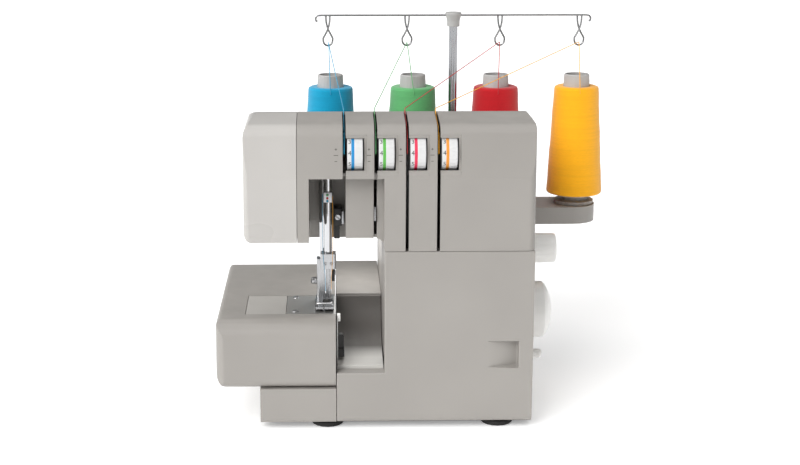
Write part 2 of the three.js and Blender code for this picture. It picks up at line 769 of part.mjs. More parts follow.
add('presser_foot', (() => {
  const x0 = presserX - 7.5;
  const x1 = presserX + 7.5;
  const toe = armFront + 4;
  const heel = presserY + 5;
  const sole = prismX([
    [heel, soleZ],
    [heel, soleZ + 3.4],
    [toe + 6, soleZ + 2.2],
    [toe, soleZ + 4.4],
    [toe, soleZ + 2.6],
    [toe + 5, soleZ],
  ], x0, x1 + 1.5);
  const needleGap = box(needleX - 5, needleX + 4.5, needleY - 7, needleY + 4, soleZ - 1, soleZ + 6);
  const toeGap = box(presserX - 0.5, presserX + 0.5, toe - 1, needleY - 6, soleZ - 1, soleZ + 6);
  const shank = prismZ([
    [x0 + 1, presserY - 5.4, 1.5],
    [x1 - 1, presserY - 5.4, 1.5],
    [x1 - 1, presserY + 5.4, 1.5],
    [x0 + 1, presserY + 5.4, 1.5],
  ], soleZ + 2, shankTop);
  const barSocket = rodZ(presserBarRadius + 0.3, 113.6, shankTop + 1, presserX, presserY, 20);
  return cut(union(sole, shank), needleGap, toeGap, barSocket);
})(), finish.steel);

add('presser_lever', (() => {
  const { x, z, radius } = lifterPivot;
  const y0 = back + gap + 0.2;
  const y1 = y0 + 4.4;
  const handle = prismY([[x + 6, z - 6, 5], [x + 6, z + 6, 5], [x - 52, z + 4, 3], [x - 52, z - 4, 3]], y0, y1);
  return handle.add(rodY(radius, back - 8, y0 + 1, x, z));
})(), finish.darkPlastic);

// ---- loopers: hooked arms on cross shafts inside the free arm ----
const looper = {
  lower: { x: needleX - 23, z: 52, y0: needleY + 1.5, y1: needleY + 4.5 },
  upper: { x: needleX - 3, z: 54, y0: needleY - 10, y1: needleY - 7 },
};

add('lower_looper', (() => {
  const { x, z, y0, y1 } = looper.lower;
  const arm = prismY([
    [x - 4, z - 3], [x + 4, z - 3], [x + 6, z + 22], [x + 11, z + 33], [x + 20, z + 38.5],
    [x + 9, z + 36.5], [x + 2, z + 24],
  ], y0, y1);
  return arm.add(rodY(3.2, y0 - 6, armRear - 18.6, x, z, 16));
})(), finish.steel);

add('upper_looper', (() => {
  const { x, z, y0, y1 } = looper.upper;
  const arm = prismY([
    [x - 4, z - 3], [x + 4, z - 3], [x + 2, z + 20], [x - 1, z + 32], [x - 8, z + 37], [x - 3, z + 20],
  ], y0, y1);
  return arm.add(rodY(3, y0 - 12, y1 + 3, x, z, 16));
})(), finish.steel);

// ---- spool stand ----
add('spool_stand', (() => {
  const endRadius = standDepth / 2;
  const reachLeft = spoolX[0] - endRadius;
  const reachRight = spoolX[3] + endRadius * 0.8;
  const plan = (inset) => [
    [reachLeft + inset, standFront + inset, endRadius - inset - 1],
    [reachRight - inset, standFront + inset, endRadius - inset - 1],
    [reachRight - inset, spoolLineY + endRadius - inset, endRadius - inset - 1],
    [reachLeft + inset, spoolLineY + endRadius - inset, endRadius - inset - 1],
  ];
  const block = prismZ(plan(0), standZ, standTop);
  const hollow = prismZ(plan(wall), standZ - 1, standTop - wall);
  const tongue = box(14, right - 20, back + gap, standFront + wall, standZ, standTop - 2);
  const pinHoles = spoolX.map((x) => rodZ(3 + gap, standZ, standTop + 1, x, spoolLineY, 16));
  const mastHole = rodZ(5.5 + gap, standZ, standTop + 1, mastX, spoolLineY, 20);
  return cut(block.subtract(hollow).add(tongue), ...pinHoles, mastHole);
})(), finish.body);

const coreRadius = (z) => coneBaseRadius - ((coneBaseRadius - coneTopRadius) * z) / coneHeight;
const coreWall = 1.6;
const woundFrom = 2;
const woundTo = coneHeight - 12;
const threadSides = 24;

spoolX.forEach((x, k) => {
  const name = threadNames[k];
  const seatZ = standTop + gap;
  add(`spool_pin_${name}`, turned([
    [0, -12], [3, -12], [3, 0], [20, 0], [20, 3], [14, 4], [13, 22], [pinRadius, 24],
    [pinRadius, 90], [0, 92],
  ], 16), finish.body, [x, spoolLineY, seatZ]);
  add(`cone_core_${name}`, turned([
    [coneBaseRadius - coreWall, 0], [coneBaseRadius, 0], [coneTopRadius, coneHeight - 1],
    [coneTopRadius - 0.6, coneHeight], [coneTopRadius - coreWall, coneHeight],
    [coneBaseRadius - coreWall, 0],
  ], threadSides), finish.core, [x, spoolLineY, coneZ]);
  const inner = (z) => coreRadius(z) + gap;
  add(`thread_cone_${name}`, turned([
    [inner(woundFrom), woundFrom], [threadBaseRadius - 2, woundFrom], [threadBaseRadius, woundFrom + 3],
    [threadTopRadius + 0.3, woundTo - 4], [threadTopRadius - 1.6, woundTo], [inner(woundTo), woundTo],
    [inner(woundFrom), woundFrom],
  ], threadSides), paint(threadColours[k], 0.75), [x, spoolLineY, coneZ]);
});

// ---- telescopic mast and guide bar ----
const mastSocketZ = wireZ - 4;

add('mast_lower', turned([
  [0, standZ + 3], [5.5, standZ + 3], [5.5, standTop + gap], [10, standTop + gap], [10, standTop + 4],
  [6.5, standTop + 6], [5.5, standTop + 9], [5.5, 236], [mastRadius + 0.4, 236],
  [mastRadius + 0.4, standZ + 8], [0, standZ + 8],
]), finish.chrome, [mastX, spoolLineY, 0]);

add('mast_upper', rodZ(mastRadius, 178, mastSocketZ, mastX, spoolLineY), finish.chrome);

// One wire loop: down, crossing itself, round the bottom and up again.
function wireLoop(x) {
  const drop = 30;
  const half = 5.7;
  const steps = 18;
  return Array.from({ length: steps + 1 }, (_, i) => {
    const t = (i / steps) * 2 - 1;
    const sweep = Math.PI * t;
    const swing = half * Math.sin(sweep) * Math.min(1, 1.25 * Math.cos(sweep * 0.62) + 0.35);
    const depth = drop * Math.pow(Math.cos((Math.PI / 2) * t), 0.75);
    const side = 1.4 * t;
    return new THREE.Vector3(x + swing - 2 * t, spoolLineY + side, wireZ - depth);
  });
}

add('guide_bar', (() => {
  const hub = turned([
    [0, wireZ - 3.6], [mastRadius + 0.4, wireZ - 3.6], [mastRadius + 0.4, wireZ - 11], [6.2, wireZ - 11],
    [6.2, wireZ - 6], [8, wireZ + 1.5], [8, wireZ + 3], [0, wireZ + 3],
  ], 16).translate([mastX, spoolLineY, 0]);
  const bar = rodX(wireRadius, mastX - wireReach, mastX + wireReach, spoolLineY, wireZ, 8);
  const hooks = [-wireReach, wireReach].map(
    (reach) => rodZ(wireRadius, wireZ - 6, wireZ + 0.5, mastX + reach, spoolLineY, 8));
  const loops = loopOffsets.map((offset) => tube(wireLoop(mastX + offset), wireRadius, 6));
  return union(hub, bar, ...hooks, ...loops);
})(), finish.chrome);

// ---- threads: from each cone up through its loop and down into its slot ----
const threadRadius = 0.4;
const threadRoutes = [
  [[-46.2, 110.5, 268], [-47.6, 130, 313.2], [-48.2, 133.4, 316.7], [-48.1, 131.2, 317.1],
    [-35.2, -38, 277.3], [-35, -43, 276.2], [-35, -50, 272], [-35, -76, 268], [-35, -86, 262], [-35, -90.3, 246]],
  [[36.1, 110.5, 268], [30.6, 130, 313.2], [30, 133.4, 316.7], [29.8, 131.2, 317.1],
    [-7.6, -38, 277.3], [-7.9, -43, 276.2], [-7.9, -50, 272], [-7.9, -76, 268], [-7.9, -86, 262], [-7.9, -90.3, 246]],
  [[119.1, 110.5, 268], [122, 130, 313.2], [122.4, 133.4, 316.7], [121.8, 131.2, 317.1],
    [19.6, -38, 277.3], [19.2, -43, 276.2], [19.2, -50, 272], [19.2, -76, 268], [19.2, -86, 262], [19.2, -90.3, 246]],
  [[200.4, 110.5, 268], [201.3, 130, 313.2], [201.5, 133.4, 316.7], [200.7, 131.2, 317.1],
    [46.8, -38, 277.3], [46.3, -43, 276.2], [46.3, -50, 272], [46.3, -76, 268], [46.3, -86, 262], [46.3, -90.3, 246]],
];

threadRoutes.forEach((route, k) => {
  const points = route.map((place) => new THREE.Vector3(...place));
  add(`thread_${threadNames[k]}`, tube(points, threadRadius, 8), paint(threadColours[k], 0.7));
});

// ---- origin at the middle of the base ----
const middleX = (extensionLeft + spoolX[3] + threadBaseRadius) / 2;
const middleY = (front + spoolLineY + threadBaseRadius) / 2;
machine.position.set(-middleX, -middleY, 0);
const overlocker = new THREE.Group();
overlocker.add(machine);
export default overlocker;
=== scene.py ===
"""Looks of a four-thread overlock sewing machine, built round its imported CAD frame.

Lengths inside the shape functions are machine millimetres: X from the column's left face, Y from the main
shaft's line, Z from the table. placed() takes them into the frame, which is in metres.
"""
import math

import bmesh
import bpy
import numpy as np
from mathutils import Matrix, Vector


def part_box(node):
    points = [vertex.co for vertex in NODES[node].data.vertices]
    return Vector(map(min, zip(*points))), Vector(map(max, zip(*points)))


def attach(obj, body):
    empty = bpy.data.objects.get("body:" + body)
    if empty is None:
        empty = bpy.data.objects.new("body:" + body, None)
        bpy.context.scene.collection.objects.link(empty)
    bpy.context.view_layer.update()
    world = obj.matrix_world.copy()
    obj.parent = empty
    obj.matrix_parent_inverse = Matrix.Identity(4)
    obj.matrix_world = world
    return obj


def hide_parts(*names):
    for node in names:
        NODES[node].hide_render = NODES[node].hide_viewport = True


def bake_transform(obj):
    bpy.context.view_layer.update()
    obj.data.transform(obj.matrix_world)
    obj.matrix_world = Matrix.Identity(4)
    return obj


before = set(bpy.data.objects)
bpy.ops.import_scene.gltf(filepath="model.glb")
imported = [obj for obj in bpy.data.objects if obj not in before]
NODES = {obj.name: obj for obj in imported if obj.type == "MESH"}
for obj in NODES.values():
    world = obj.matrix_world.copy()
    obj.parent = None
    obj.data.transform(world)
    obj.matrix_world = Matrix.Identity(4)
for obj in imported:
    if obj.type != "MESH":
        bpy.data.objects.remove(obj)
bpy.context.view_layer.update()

GAP = 0.4
ORIGIN = np.array([
    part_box("bed_strip")[1][0] * 1000 + GAP,
    (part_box("main_shaft")[0][1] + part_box("main_shaft")[1][1]) * 500,
    0.0,
])
THREADS = ("blue", "green", "red", "yellow")


def placed(points):
    """Machine millimetres moved to the frame's origin and scaled to metres: (p + origin) / 1000."""
    return (np.asarray(points, float) + ORIGIN) / 1000


def node_box(node):
    """A CAD node's two corners in machine millimetres."""
    return [np.array(corner) * 1000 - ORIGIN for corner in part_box(node)]


# ---- colours ----


def colour(red, green, blue):
    """A screen colour, 0 to 255, as linear light: ((c + 0.055) / 1.055) ^ 2.4 above the dark end."""
    c = np.array([red, green, blue]) / 255
    light = np.where(c <= 0.04045, c / 12.92, ((c + 0.055) / 1.055) ** 2.4)
    return (*light.tolist(), 1.0)


BODY_GREY = colour(155, 151, 146)
# The face cover's paler grey is raised further as painted light, standing in for the light its curved left side
# catches.
FACE_GREY_WITH_PAINTED_LIGHT = colour(184, 181, 177)
PALE_GREY = colour(250, 249, 246)
# Dark grey of the waste chute: painted shade, standing in for the shade inside its trough.
CHUTE_PAINTED_SHADE_GREY = colour(92, 88, 84)
# Pale band low on the chute: painted highlight, standing in for the light on the trough's curved lower lip, between
# 60.5 and 55.5 mm high.
CHUTE_PAINTED_HIGHLIGHT_GREY = colour(214, 212, 207)
CHUTE_PAINTED_HIGHLIGHT = (CHUTE_PAINTED_HIGHLIGHT_GREY, 0.0605, 0.0555)
DARK_GREY = colour(38, 37, 37)
THREAD_COLOURS = {
    "blue": colour(0, 158, 200),
    "green": colour(98, 178, 112),
    "red": colour(192, 14, 26),
    "yellow": colour(255, 180, 14),
}
BAND_COLOURS = {
    "blue": colour(20, 134, 196),
    "green": colour(92, 176, 74),
    "red": colour(222, 48, 84),
    "yellow": colour(232, 148, 52),
}


# ---- node groups shared by the finishes ----


class Sheet:
    """Short calls for laying out the nodes of one material or group."""

    def __init__(self, tree):
        self.tree = tree

    def node(self, kind, settings=None, **inputs):
        n = self.tree.nodes.new(kind)
        for key, value in (settings or {}).items():
            setattr(n, key, value)
        for key, value in inputs.items():
            self.feed(n.inputs[key.replace("_", " ")], value)
        return n

    def feed(self, socket, value):
        if isinstance(value, bpy.types.NodeSocket):
            self.tree.links.new(value, socket)
        else:
            socket.default_value = value

    def maths(self, operation, *values):
        n = self.tree.nodes.new("ShaderNodeMath")
        n.operation = operation
        for socket, value in zip(n.inputs, values):
            self.feed(socket, value)
        return n.outputs[0]

    def span(self, value, from_low, from_high, to_low, to_high):
        n = self.node("ShaderNodeMapRange", {"clamp": True})
        for socket, v in zip(n.inputs, (value, from_low, from_high, to_low, to_high)):
            self.feed(socket, v)
        return n.outputs[0]

    def blend_colours(self, factor, first, second, mode="MIX"):
        n = self.node("ShaderNodeMix", {"data_type": "RGBA", "blend_type": mode})
        self.feed(n.inputs[0], factor)
        self.feed(n.inputs[6], first)
        self.feed(n.inputs[7], second)
        return n.outputs[2]

    def noise(self, vector, scale, detail=2.0, roughness=0.5):
        n = self.node("ShaderNodeTexNoise", Vector=vector, Scale=scale, Detail=detail, Roughness=roughness)
        return n.outputs["Fac"]


def new_group(name, inputs, outputs):
    """An empty shader group with float inputs {name: value} and float outputs; returns its sheet and ends."""
    tree = bpy.data.node_groups.new(name, "ShaderNodeTree")
    for key, value in inputs.items():
        socket = tree.interface.new_socket(key, in_out="INPUT", socket_type="NodeSocketFloat")
        socket.default_value = value
    for key in outputs:
        tree.interface.new_socket(key, in_out="OUTPUT", socket_type="NodeSocketFloat")
    sheet = Sheet(tree)
    return sheet, tree.nodes.new("NodeGroupInput"), tree.nodes.new("NodeGroupOutput")


def make_moulded_grain():
    """Spark-eroded mould texture: fine noise for height, broad soft noise for tone."""
    s, given, out = new_group("moulded_grain", {"Grain": 1600.0, "Cloud": 14.0}, ("Height", "Tone"))
    at = s.node("ShaderNodeTexCoord").outputs["Object"]
    fine = s.noise(at, given.outputs["Grain"], 3.0, 0.6)
    broad = s.noise(at, given.outputs["Cloud"], 2.0)
    s.feed(out.inputs["Height"], fine)
    s.feed(out.inputs["Tone"], broad)
    return s.tree


def make_worn_edge():
    """Where a rounded normal leaves the flat one: 1 - their dot product, broken up by noise."""
    s, given, out = new_group("worn_edge", {"Radius": 0.0006, "Amount": 1.0}, ("Mask",))
    rounded = s.node("ShaderNodeBevel", {"samples": 4})
    s.feed(rounded.inputs["Radius"], given.outputs["Radius"])
    flat = s.node("ShaderNodeNewGeometry").outputs["True Normal"]
    dot = s.node("ShaderNodeVectorMath", {"operation": "DOT_PRODUCT"})
    s.feed(dot.inputs[0], rounded.outputs[0])
    s.feed(dot.inputs[1], flat)
    edge = s.span(dot.outputs["Value"], 0.995, 0.75, 0.0, 1.0)
    at = s.node("ShaderNodeTexCoord").outputs["Object"]
    broken = s.span(s.noise(at, 160.0, 3.0), 0.3, 0.7, 0.35, 1.0)
    amount = s.maths("MULTIPLY", edge, given.outputs["Amount"])
    s.feed(out.inputs["Mask"], s.maths("MULTIPLY", amount, broken))
    return s.tree


def make_settled_dust():
    """Fine dust where a face looks up: height of the normal, through soft noise."""
    s, given, out = new_group("settled_dust", {"Amount": 0.1}, ("Mask",))
    normal = s.node("ShaderNodeNewGeometry").outputs["Normal"]
    up = s.node("ShaderNodeSeparateXYZ", Vector=normal).outputs["Z"]
    at = s.node("ShaderNodeTexCoord").outputs["Object"]
    cloud = s.span(s.noise(at, 60.0, 4.0), 0.35, 0.75, 0.0, 1.0)
    flat = s.span(up, 0.75, 1.0, 0.0, 1.0)
    mask = s.maths("MULTIPLY", s.maths("MULTIPLY", flat, cloud), given.outputs["Amount"])
    s.feed(out.inputs["Mask"], mask)
    return s.tree


def make_brushed_lines():
    """Grinding lines: noise stretched along one of the object's axes."""
    s, given, out = new_group(
        "brushed_lines", {"Across X": 40.0, "Across Y": 3000.0, "Across Z": 3000.0}, ("Height", "Streak"))
    at = s.node("ShaderNodeTexCoord").outputs["Object"]
    stretch = s.node("ShaderNodeCombineXYZ")
    for axis, key in zip("XYZ", ("Across X", "Across Y", "Across Z")):
        s.feed(stretch.inputs[axis], given.outputs[key])
    scaled = s.node("ShaderNodeVectorMath", {"operation": "MULTIPLY"})
    s.feed(scaled.inputs[0], at)
    s.feed(scaled.inputs[1], stretch.outputs[0])
    lines = s.noise(scaled.outputs[0], 1.0, 2.0)
    s.feed(out.inputs["Height"], lines)
    s.feed(out.inputs["Streak"], lines)
    return s.tree


GROUPS = {
    "moulded_grain": make_moulded_grain(),
    "worn_edge": make_worn_edge(),
    "settled_dust": make_settled_dust(),
    "brushed_lines": make_brushed_lines(),
}


def use(sheet, group, **inputs):
    """Places a shared group in a material, with its own values."""
    n = sheet.node("ShaderNodeGroup", {"node_tree": GROUPS[group]})
    for key, value in inputs.items():
        sheet.feed(n.inputs[key.replace("_", " ")], value)
    return n.outputs


def new_material(name, **shader_values):
    """A material with its shader's constant values set; returns the material, its sheet and its shader."""
    material = bpy.data.materials.new(name)
    material.use_nodes = True
    tree = material.node_tree
    shader = tree.nodes["Principled BSDF"]
    for key, value in shader_values.items():
        shader.inputs[key.replace("_", " ")].default_value = value
    return material, Sheet(tree), shader


def shade(tone, factor):
    """A colour times a factor, its alpha kept."""
    return (tone[0] * factor, tone[1] * factor, tone[2] * factor, 1.0)


def moulded_plastic(name, tone, rough, bump=0.00004, edge=0.25, dust=0.12, grain=1600.0, coat=0.0, lip=None):
    """Injection-moulded plastic: grain, faint clouding, paler handled edges and a little dust on top. lip is
    (colour, upper height, lower height): a painted highlight colour that takes over between the two heights, in
    metres."""
    material, s, shader = new_material(name, Coat_Weight=coat, Coat_Roughness=0.25)
    relief = use(s, "moulded_grain", Grain=grain)
    clouded = s.blend_colours(s.span(relief["Tone"], 0.3, 0.7, 0.0, 1.0), shade(tone, 0.965), shade(tone, 1.03))
    if lip is not None:
        # Painted highlight: the lip colour takes over low on the piece, standing in for light on a curved lip.
        at = s.node("ShaderNodeTexCoord").outputs["Object"]
        height = s.node("ShaderNodeSeparateXYZ", Vector=at).outputs["Z"]
        clouded = s.blend_colours(s.span(height, lip[1], lip[2], 0.0, 1.0), clouded, lip[0])
    worn = use(s, "worn_edge", Amount=edge)["Mask"]
    edged = s.blend_colours(worn, clouded, shade(tone, 1.35))
    dusty = s.blend_colours(use(s, "settled_dust", Amount=dust)["Mask"], edged, colour(208, 204, 197))
    s.feed(shader.inputs["Base Color"], dusty)
    s.feed(shader.inputs["Roughness"], s.span(relief["Tone"], 0.3, 0.7, rough - 0.04, rough + 0.05))
    bumped = s.node("ShaderNodeBump", Height=relief["Height"], Distance=bump, Strength=0.5)
    s.feed(shader.inputs["Normal"], bumped.outputs[0])
    return material


def metal(name, tone, rough, lines=(40.0, 3000.0, 3000.0), bump=0.00001, spread=0.06, edge=0.3):
    """Metal with grinding or drawing lines along one axis and brighter worn edges."""
    material, s, shader = new_material(name, Metallic=1.0)
    brushed = use(s, "brushed_lines", Across_X=lines[0], Across_Y=lines[1], Across_Z=lines[2])
    streaked = s.blend_colours(brushed["Streak"], shade(tone, 0.86), shade(tone, 1.08))
    worn = use(s, "worn_edge", Amount=edge)["Mask"]
    s.feed(shader.inputs["Base Color"], s.blend_colours(worn, streaked, colour(236, 236, 238)))
    s.feed(shader.inputs["Roughness"], s.span(brushed["Streak"], 0.3, 0.7, rough, rough + spread))
    bumped = s.node("ShaderNodeBump", Height=brushed["Height"], Distance=bump, Strength=0.4)
    s.feed(shader.inputs["Normal"], bumped.outputs[0])
    return material


def wound_thread(name, tone):
    """Spun polyester: fibre fuzz along the turns, darker noise bands between turns, and a painted highlight on the
    crowns of the wound ridges.
    """
    material, s, shader = new_material(name, Roughness=0.8, Sheen_Weight=0.35, Sheen_Roughness=0.5)
    shader.inputs["Specular IOR Level"].default_value = 0.25
    turns = s.node("ShaderNodeUVMap", {"uv_map": "turns"}).outputs[0]
    along = s.node("ShaderNodeMapping", Vector=turns, Scale=(34.0, 420.0, 1.0)).outputs[0]
    fibre = s.noise(along, 1.0, 4.0, 0.6)
    band = s.node("ShaderNodeMapping", Vector=turns, Scale=(2.2, 46.0, 1.0)).outputs[0]
    layers = s.noise(band, 1.0, 3.0)
    depth = s.node("ShaderNodeAttribute", {"attribute_name": "crown"}).outputs["Fac"]
    low = s.blend_colours(s.span(fibre, 0.3, 0.7, 0.0, 1.0), shade(tone, 0.84), shade(tone, 1.08))
    banded = s.blend_colours(s.span(layers, 0.35, 0.65, 0.0, 0.55), low, shade(tone, 0.8))
    # Painted highlight: paler where the wound ridges stand highest.
    crown_painted_highlight = s.blend_colours(s.span(depth, 0.0, 1.0, 0.0, 0.4), banded, shade(tone, 1.2))
    s.feed(shader.inputs["Base Color"], crown_painted_highlight)
    bumped = s.node("ShaderNodeBump", Height=fibre, Distance=0.00006, Strength=0.5)
    s.feed(shader.inputs["Normal"], bumped.outputs[0])
    return material


def twisted_thread(name, tone):
    """A single taut thread: its plies wind round it, from the u and v of its own surface."""
    material, s, shader = new_material(name, Roughness=0.7, Sheen_Weight=0.3)
    turns = s.node("ShaderNodeUVMap", {"uv_map": "turns"}).outputs[0]
    split = s.node("ShaderNodeSeparateXYZ", Vector=turns)
    wind = s.maths("ADD", s.maths("MULTIPLY", split.outputs["Y"], 900.0), split.outputs["X"])
    ply = s.maths("SINE", s.maths("MULTIPLY", wind, 2 * math.pi))
    s.feed(shader.inputs["Base Color"], s.blend_colours(
        s.span(ply, -1.0, 1.0, 0.0, 1.0), shade(tone, 0.75), shade(tone, 1.15)))
    return material


def printed_ink(name, tone):
    """Pad-printed ink: slightly uneven cover over the plastic below."""
    material, s, shader = new_material(name, Roughness=0.5)
    at = s.node("ShaderNodeTexCoord").outputs["Object"]
    cover = s.span(s.noise(at, 2400.0, 3.0), 0.35, 0.65, 0.0, 1.0)
    s.feed(shader.inputs["Base Color"], s.blend_colours(cover, shade(tone, 0.85), shade(tone, 1.1)))
    return material


FINISH = {
    "body": moulded_plastic("warm_grey_moulding", BODY_GREY, 0.42),
    # Chute: dark grey as painted shade, with a pale painted highlight low down on its lip.
    "chute": moulded_plastic("chute_painted_shade_and_highlight_moulding", CHUTE_PAINTED_SHADE_GREY, 0.5, lip=CHUTE_PAINTED_HIGHLIGHT),
    # Free arm: a lighter copy of the body's grey, as painted light on the arm.
    "arm": moulded_plastic("free_arm_moulding", colour(178, 175, 170), 0.4),
    # Face cover: a paler grey, made paler still as painted light on its lit left side.
    "face": moulded_plastic("pale_face_painted_light_moulding", FACE_GREY_WITH_PAINTED_LIGHT, 0.3, bump=0.00002, coat=0.15),
    "pale": moulded_plastic("pale_knob_moulding", PALE_GREY, 0.34, bump=0.00002),
    "core": moulded_plastic("cone_tube_moulding", colour(182, 180, 178), 0.5),
    "dark": moulded_plastic("black_moulding", DARK_GREY, 0.45, edge=0.12, dust=0.25),
    "rubber": moulded_plastic("foot_rubber", colour(26, 25, 25), 0.8, bump=0.00008, edge=0.05, dust=0.4),
    "cast": metal("cast_frame_metal", colour(150, 151, 152), 0.5, lines=(500.0, 500.0, 500.0), bump=0.0001),
    "steel": metal("ground_steel", colour(186, 187, 189), 0.3),
    "steel_round": metal("turned_steel", colour(190, 191, 193), 0.24, lines=(2600.0, 2600.0, 60.0)),
    # Needle plate: its grey is raised as painted light, making up for the light the head keeps off it.
    "plate": metal("brushed_needle_plate_painted_light", colour(206, 205, 202), 0.42, lines=(30.0, 4200.0, 300.0), bump=0.00002),
    "chrome": metal("bright_plating", colour(214, 215, 217), 0.09, lines=(900.0, 900.0, 90.0),
                    bump=0.000002, spread=0.04, edge=0.0),
    # Mast: a darker copy of the bright plating, as painted shade for the darker reflections along the mast.
    "mast": metal("mast_plating_painted_shade", colour(168, 169, 172), 0.14, lines=(900.0, 900.0, 90.0),
                  bump=0.000002, spread=0.04, edge=0.0),
    "wire": metal("bright_wire", colour(150, 150, 151), 0.22, lines=(120.0, 900.0, 900.0), bump=0.000002, edge=0.0),
    "white_metal": metal("bright_foot_metal", colour(232, 232, 233), 0.25, edge=0.0),
    "hub": moulded_plastic("hub_moulding", colour(176, 175, 173), 0.4, bump=0.00002),
    "ink": printed_ink("dark_ink", colour(74, 72, 70)),
    "black_ink": printed_ink("black_ink", colour(30, 30, 30)),
    "white": moulded_plastic("white_dial_moulding", colour(214, 214, 214), 0.3, bump=0.00001, edge=0.0, dust=0.0),
}
for thread in THREADS:
    FINISH["cone_" + thread] = wound_thread("wound_thread_" + thread, THREAD_COLOURS[thread])
    FINISH["line_" + thread] = twisted_thread("taut_thread_" + thread, THREAD_COLOURS[thread])
    FINISH["band_" + thread] = printed_ink("dial_band_" + thread, BAND_COLOURS[thread])


# ---- shapes ----


def rounded(corners, step=math.radians(12)):
    """Points of an outline whose corners (u, v, radius) are arcs tangent to both sides."""
    corners = [tuple(c) + (0,) * (3 - len(c)) for c in corners]
    points = []
    for i, (u, v, radius) in enumerate(corners):
        here = np.array([u, v], float)
        if radius <= 0:
            points.append(here[None])
            continue
        before = np.array(corners[i - 1][:2], float) - here
        after = np.array(corners[(i + 1) % len(corners)][:2], float) - here
        before /= np.linalg.norm(before)
        after /= np.linalg.norm(after)
        half = math.acos(float(np.clip(before @ after, -1, 1))) / 2
        reach = radius / math.tan(half)
        centre = here + (before + after) / np.linalg.norm(before + after) * radius / math.sin(half)
        first, last = here + before * reach - centre, here + after * reach - centre
        start = math.atan2(first[1], first[0])
        turn = (math.atan2(last[1], last[0]) - start + math.pi) % (2 * math.pi) - math.pi
        angles = start + turn * np.linspace(0, 1, max(2, int(abs(turn) / step) + 2))
        points.append(centre + radius * np.stack([np.cos(angles), np.sin(angles)], 1))
    return np.concatenate(points)


AXES = {
    "x": np.array([[0, 1, 0], [0, 0, 1], [1, 0, 0]], float),
    "y": np.array([[0, 0, 1], [1, 0, 0], [0, 1, 0]], float),
    "z": np.array([[1, 0, 0], [0, 1, 0], [0, 0, 1]], float),
}


def grid_piece(name, points, material, body, ends=True, sharp=35, uv=None, crown=None, stands_for=(), slot=None):
    """A grid of points, rows by columns, joined into quads; columns close on themselves and the end rows
    are capped unless ends is off. Doubled points at poles are merged and normals turned outwards."""
    rows, columns = points.shape[:2]
    row = np.arange(rows - 1)[:, None]
    column = np.arange(columns)[None, :]
    after = (column + 1) % columns
    low = row * columns
    faces = np.stack([low + column, low + after, low + columns + after, low + columns + column], -1)
    faces = faces.reshape(-1, 4).tolist()
    quad_count = len(faces)
    if ends:
        faces.append(list(range(columns - 1, -1, -1)))
        faces.append(list(range((rows - 1) * columns, rows * columns)))
    mesh = bpy.data.meshes.new(name)
    mesh.from_pydata(placed(points.reshape(-1, 3)), [], faces)
    if uv is not None:
        layer = mesh.uv_layers.new(name="turns")
        u = np.stack([column, column + 1, column + 1, column], -1) / columns + 0 * row[..., None]
        v = np.stack([row, row, row + 1, row + 1], -1) / (rows - 1) + 0 * column[..., None]
        flat = np.zeros((len(mesh.loops), 2), np.float32)
        flat[: quad_count * 4] = np.stack([u * uv[0], v * uv[1]], -1).reshape(-1, 2)
        layer.data.foreach_set("uv", flat.ravel())
    if crown is not None:
        mesh.attributes.new("crown", "FLOAT", "POINT").data.foreach_set("value", crown.ravel().astype(np.float32))
    return finished(name, mesh, material, body, sharp, stands_for)


def finished(name, mesh, material, body, sharp=35, stands_for=()):
    """Merges doubled points, faces the shell outwards, shades it and puts it on its body."""
    work = bmesh.new()
    work.from_mesh(mesh)
    bmesh.ops.remove_doubles(work, verts=work.verts, dist=1e-7)
    bmesh.ops.recalc_face_normals(work, faces=work.faces)
    work.to_mesh(mesh)
    work.free()
    mesh.shade_smooth()
    mesh.set_sharp_from_angle(angle=math.radians(sharp))
    mesh.materials.append(FINISH[material] if isinstance(material, str) else material)
    piece = bpy.data.objects.new(name, mesh)
    bpy.context.scene.collection.objects.link(piece)
    if body is not None:
        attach(piece, body)
    if stands_for:
        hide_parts(*stands_for)
    return piece


def turned(name, profile, axis, centre, material, body, sides=64, ripple=None, **more):
    """A profile of (radius, height) carried round an axis: centre + r cos a, r sin a across it and the
    height along it. ripple(height, angle) adds to the radius."""
    profile = np.asarray(profile, float)
    angle = np.linspace(0, 2 * np.pi, sides, endpoint=False)[None, :]
    radius = profile[:, 0][:, None] + 0 * angle
    if ripple is not None:
        radius = np.where(radius > 0, radius + ripple(profile[:, 1][:, None], angle), radius)
    height = profile[:, 1][:, None] + 0 * angle
    local = np.stack([radius * np.cos(angle), radius * np.sin(angle), height], -1)
    return grid_piece(name, np.asarray(centre, float) + local @ AXES[axis], material, body, **more)


def slab(name, corners, axis, low, high, material, body, rim=0.5, steps=3, **more):
    """An outline swept along an axis, with rounded rims: each end ring moves in by rim (1 - cos b) and
    out along the axis by rim sin b."""
    line = rounded(corners)
    before = line - np.roll(line, 1, 0)
    after = np.roll(line, -1, 0) - line
    before /= np.linalg.norm(before, axis=1)[:, None]
    after /= np.linalg.norm(after, axis=1)[:, None]
    mean = before + after
    mean /= np.linalg.norm(mean, axis=1)[:, None]
    miter = 1 / np.maximum(0.3, (mean * before).sum(1))
    area = (line[:, 0] * np.roll(line[:, 1], -1) - np.roll(line[:, 0], -1) * line[:, 1]).sum()
    inward = np.stack([-mean[:, 1], mean[:, 0]], 1) * miter[:, None] * np.sign(area)
    b = np.linspace(0, np.pi / 2, steps + 1)
    inset = np.concatenate([rim * (1 - np.sin(b)), rim * (1 - np.sin(b[::-1]))])
    height = np.concatenate([low + rim * (1 - np.cos(b)), high - rim * (1 - np.cos(b[::-1]))])
    flat = line[None] + inward[None] * inset[:, None, None]
    local = np.concatenate([flat, height[:, None, None] + 0 * flat[..., :1]], -1)
    return grid_piece(name, local @ AXES[axis], material, body, **more)


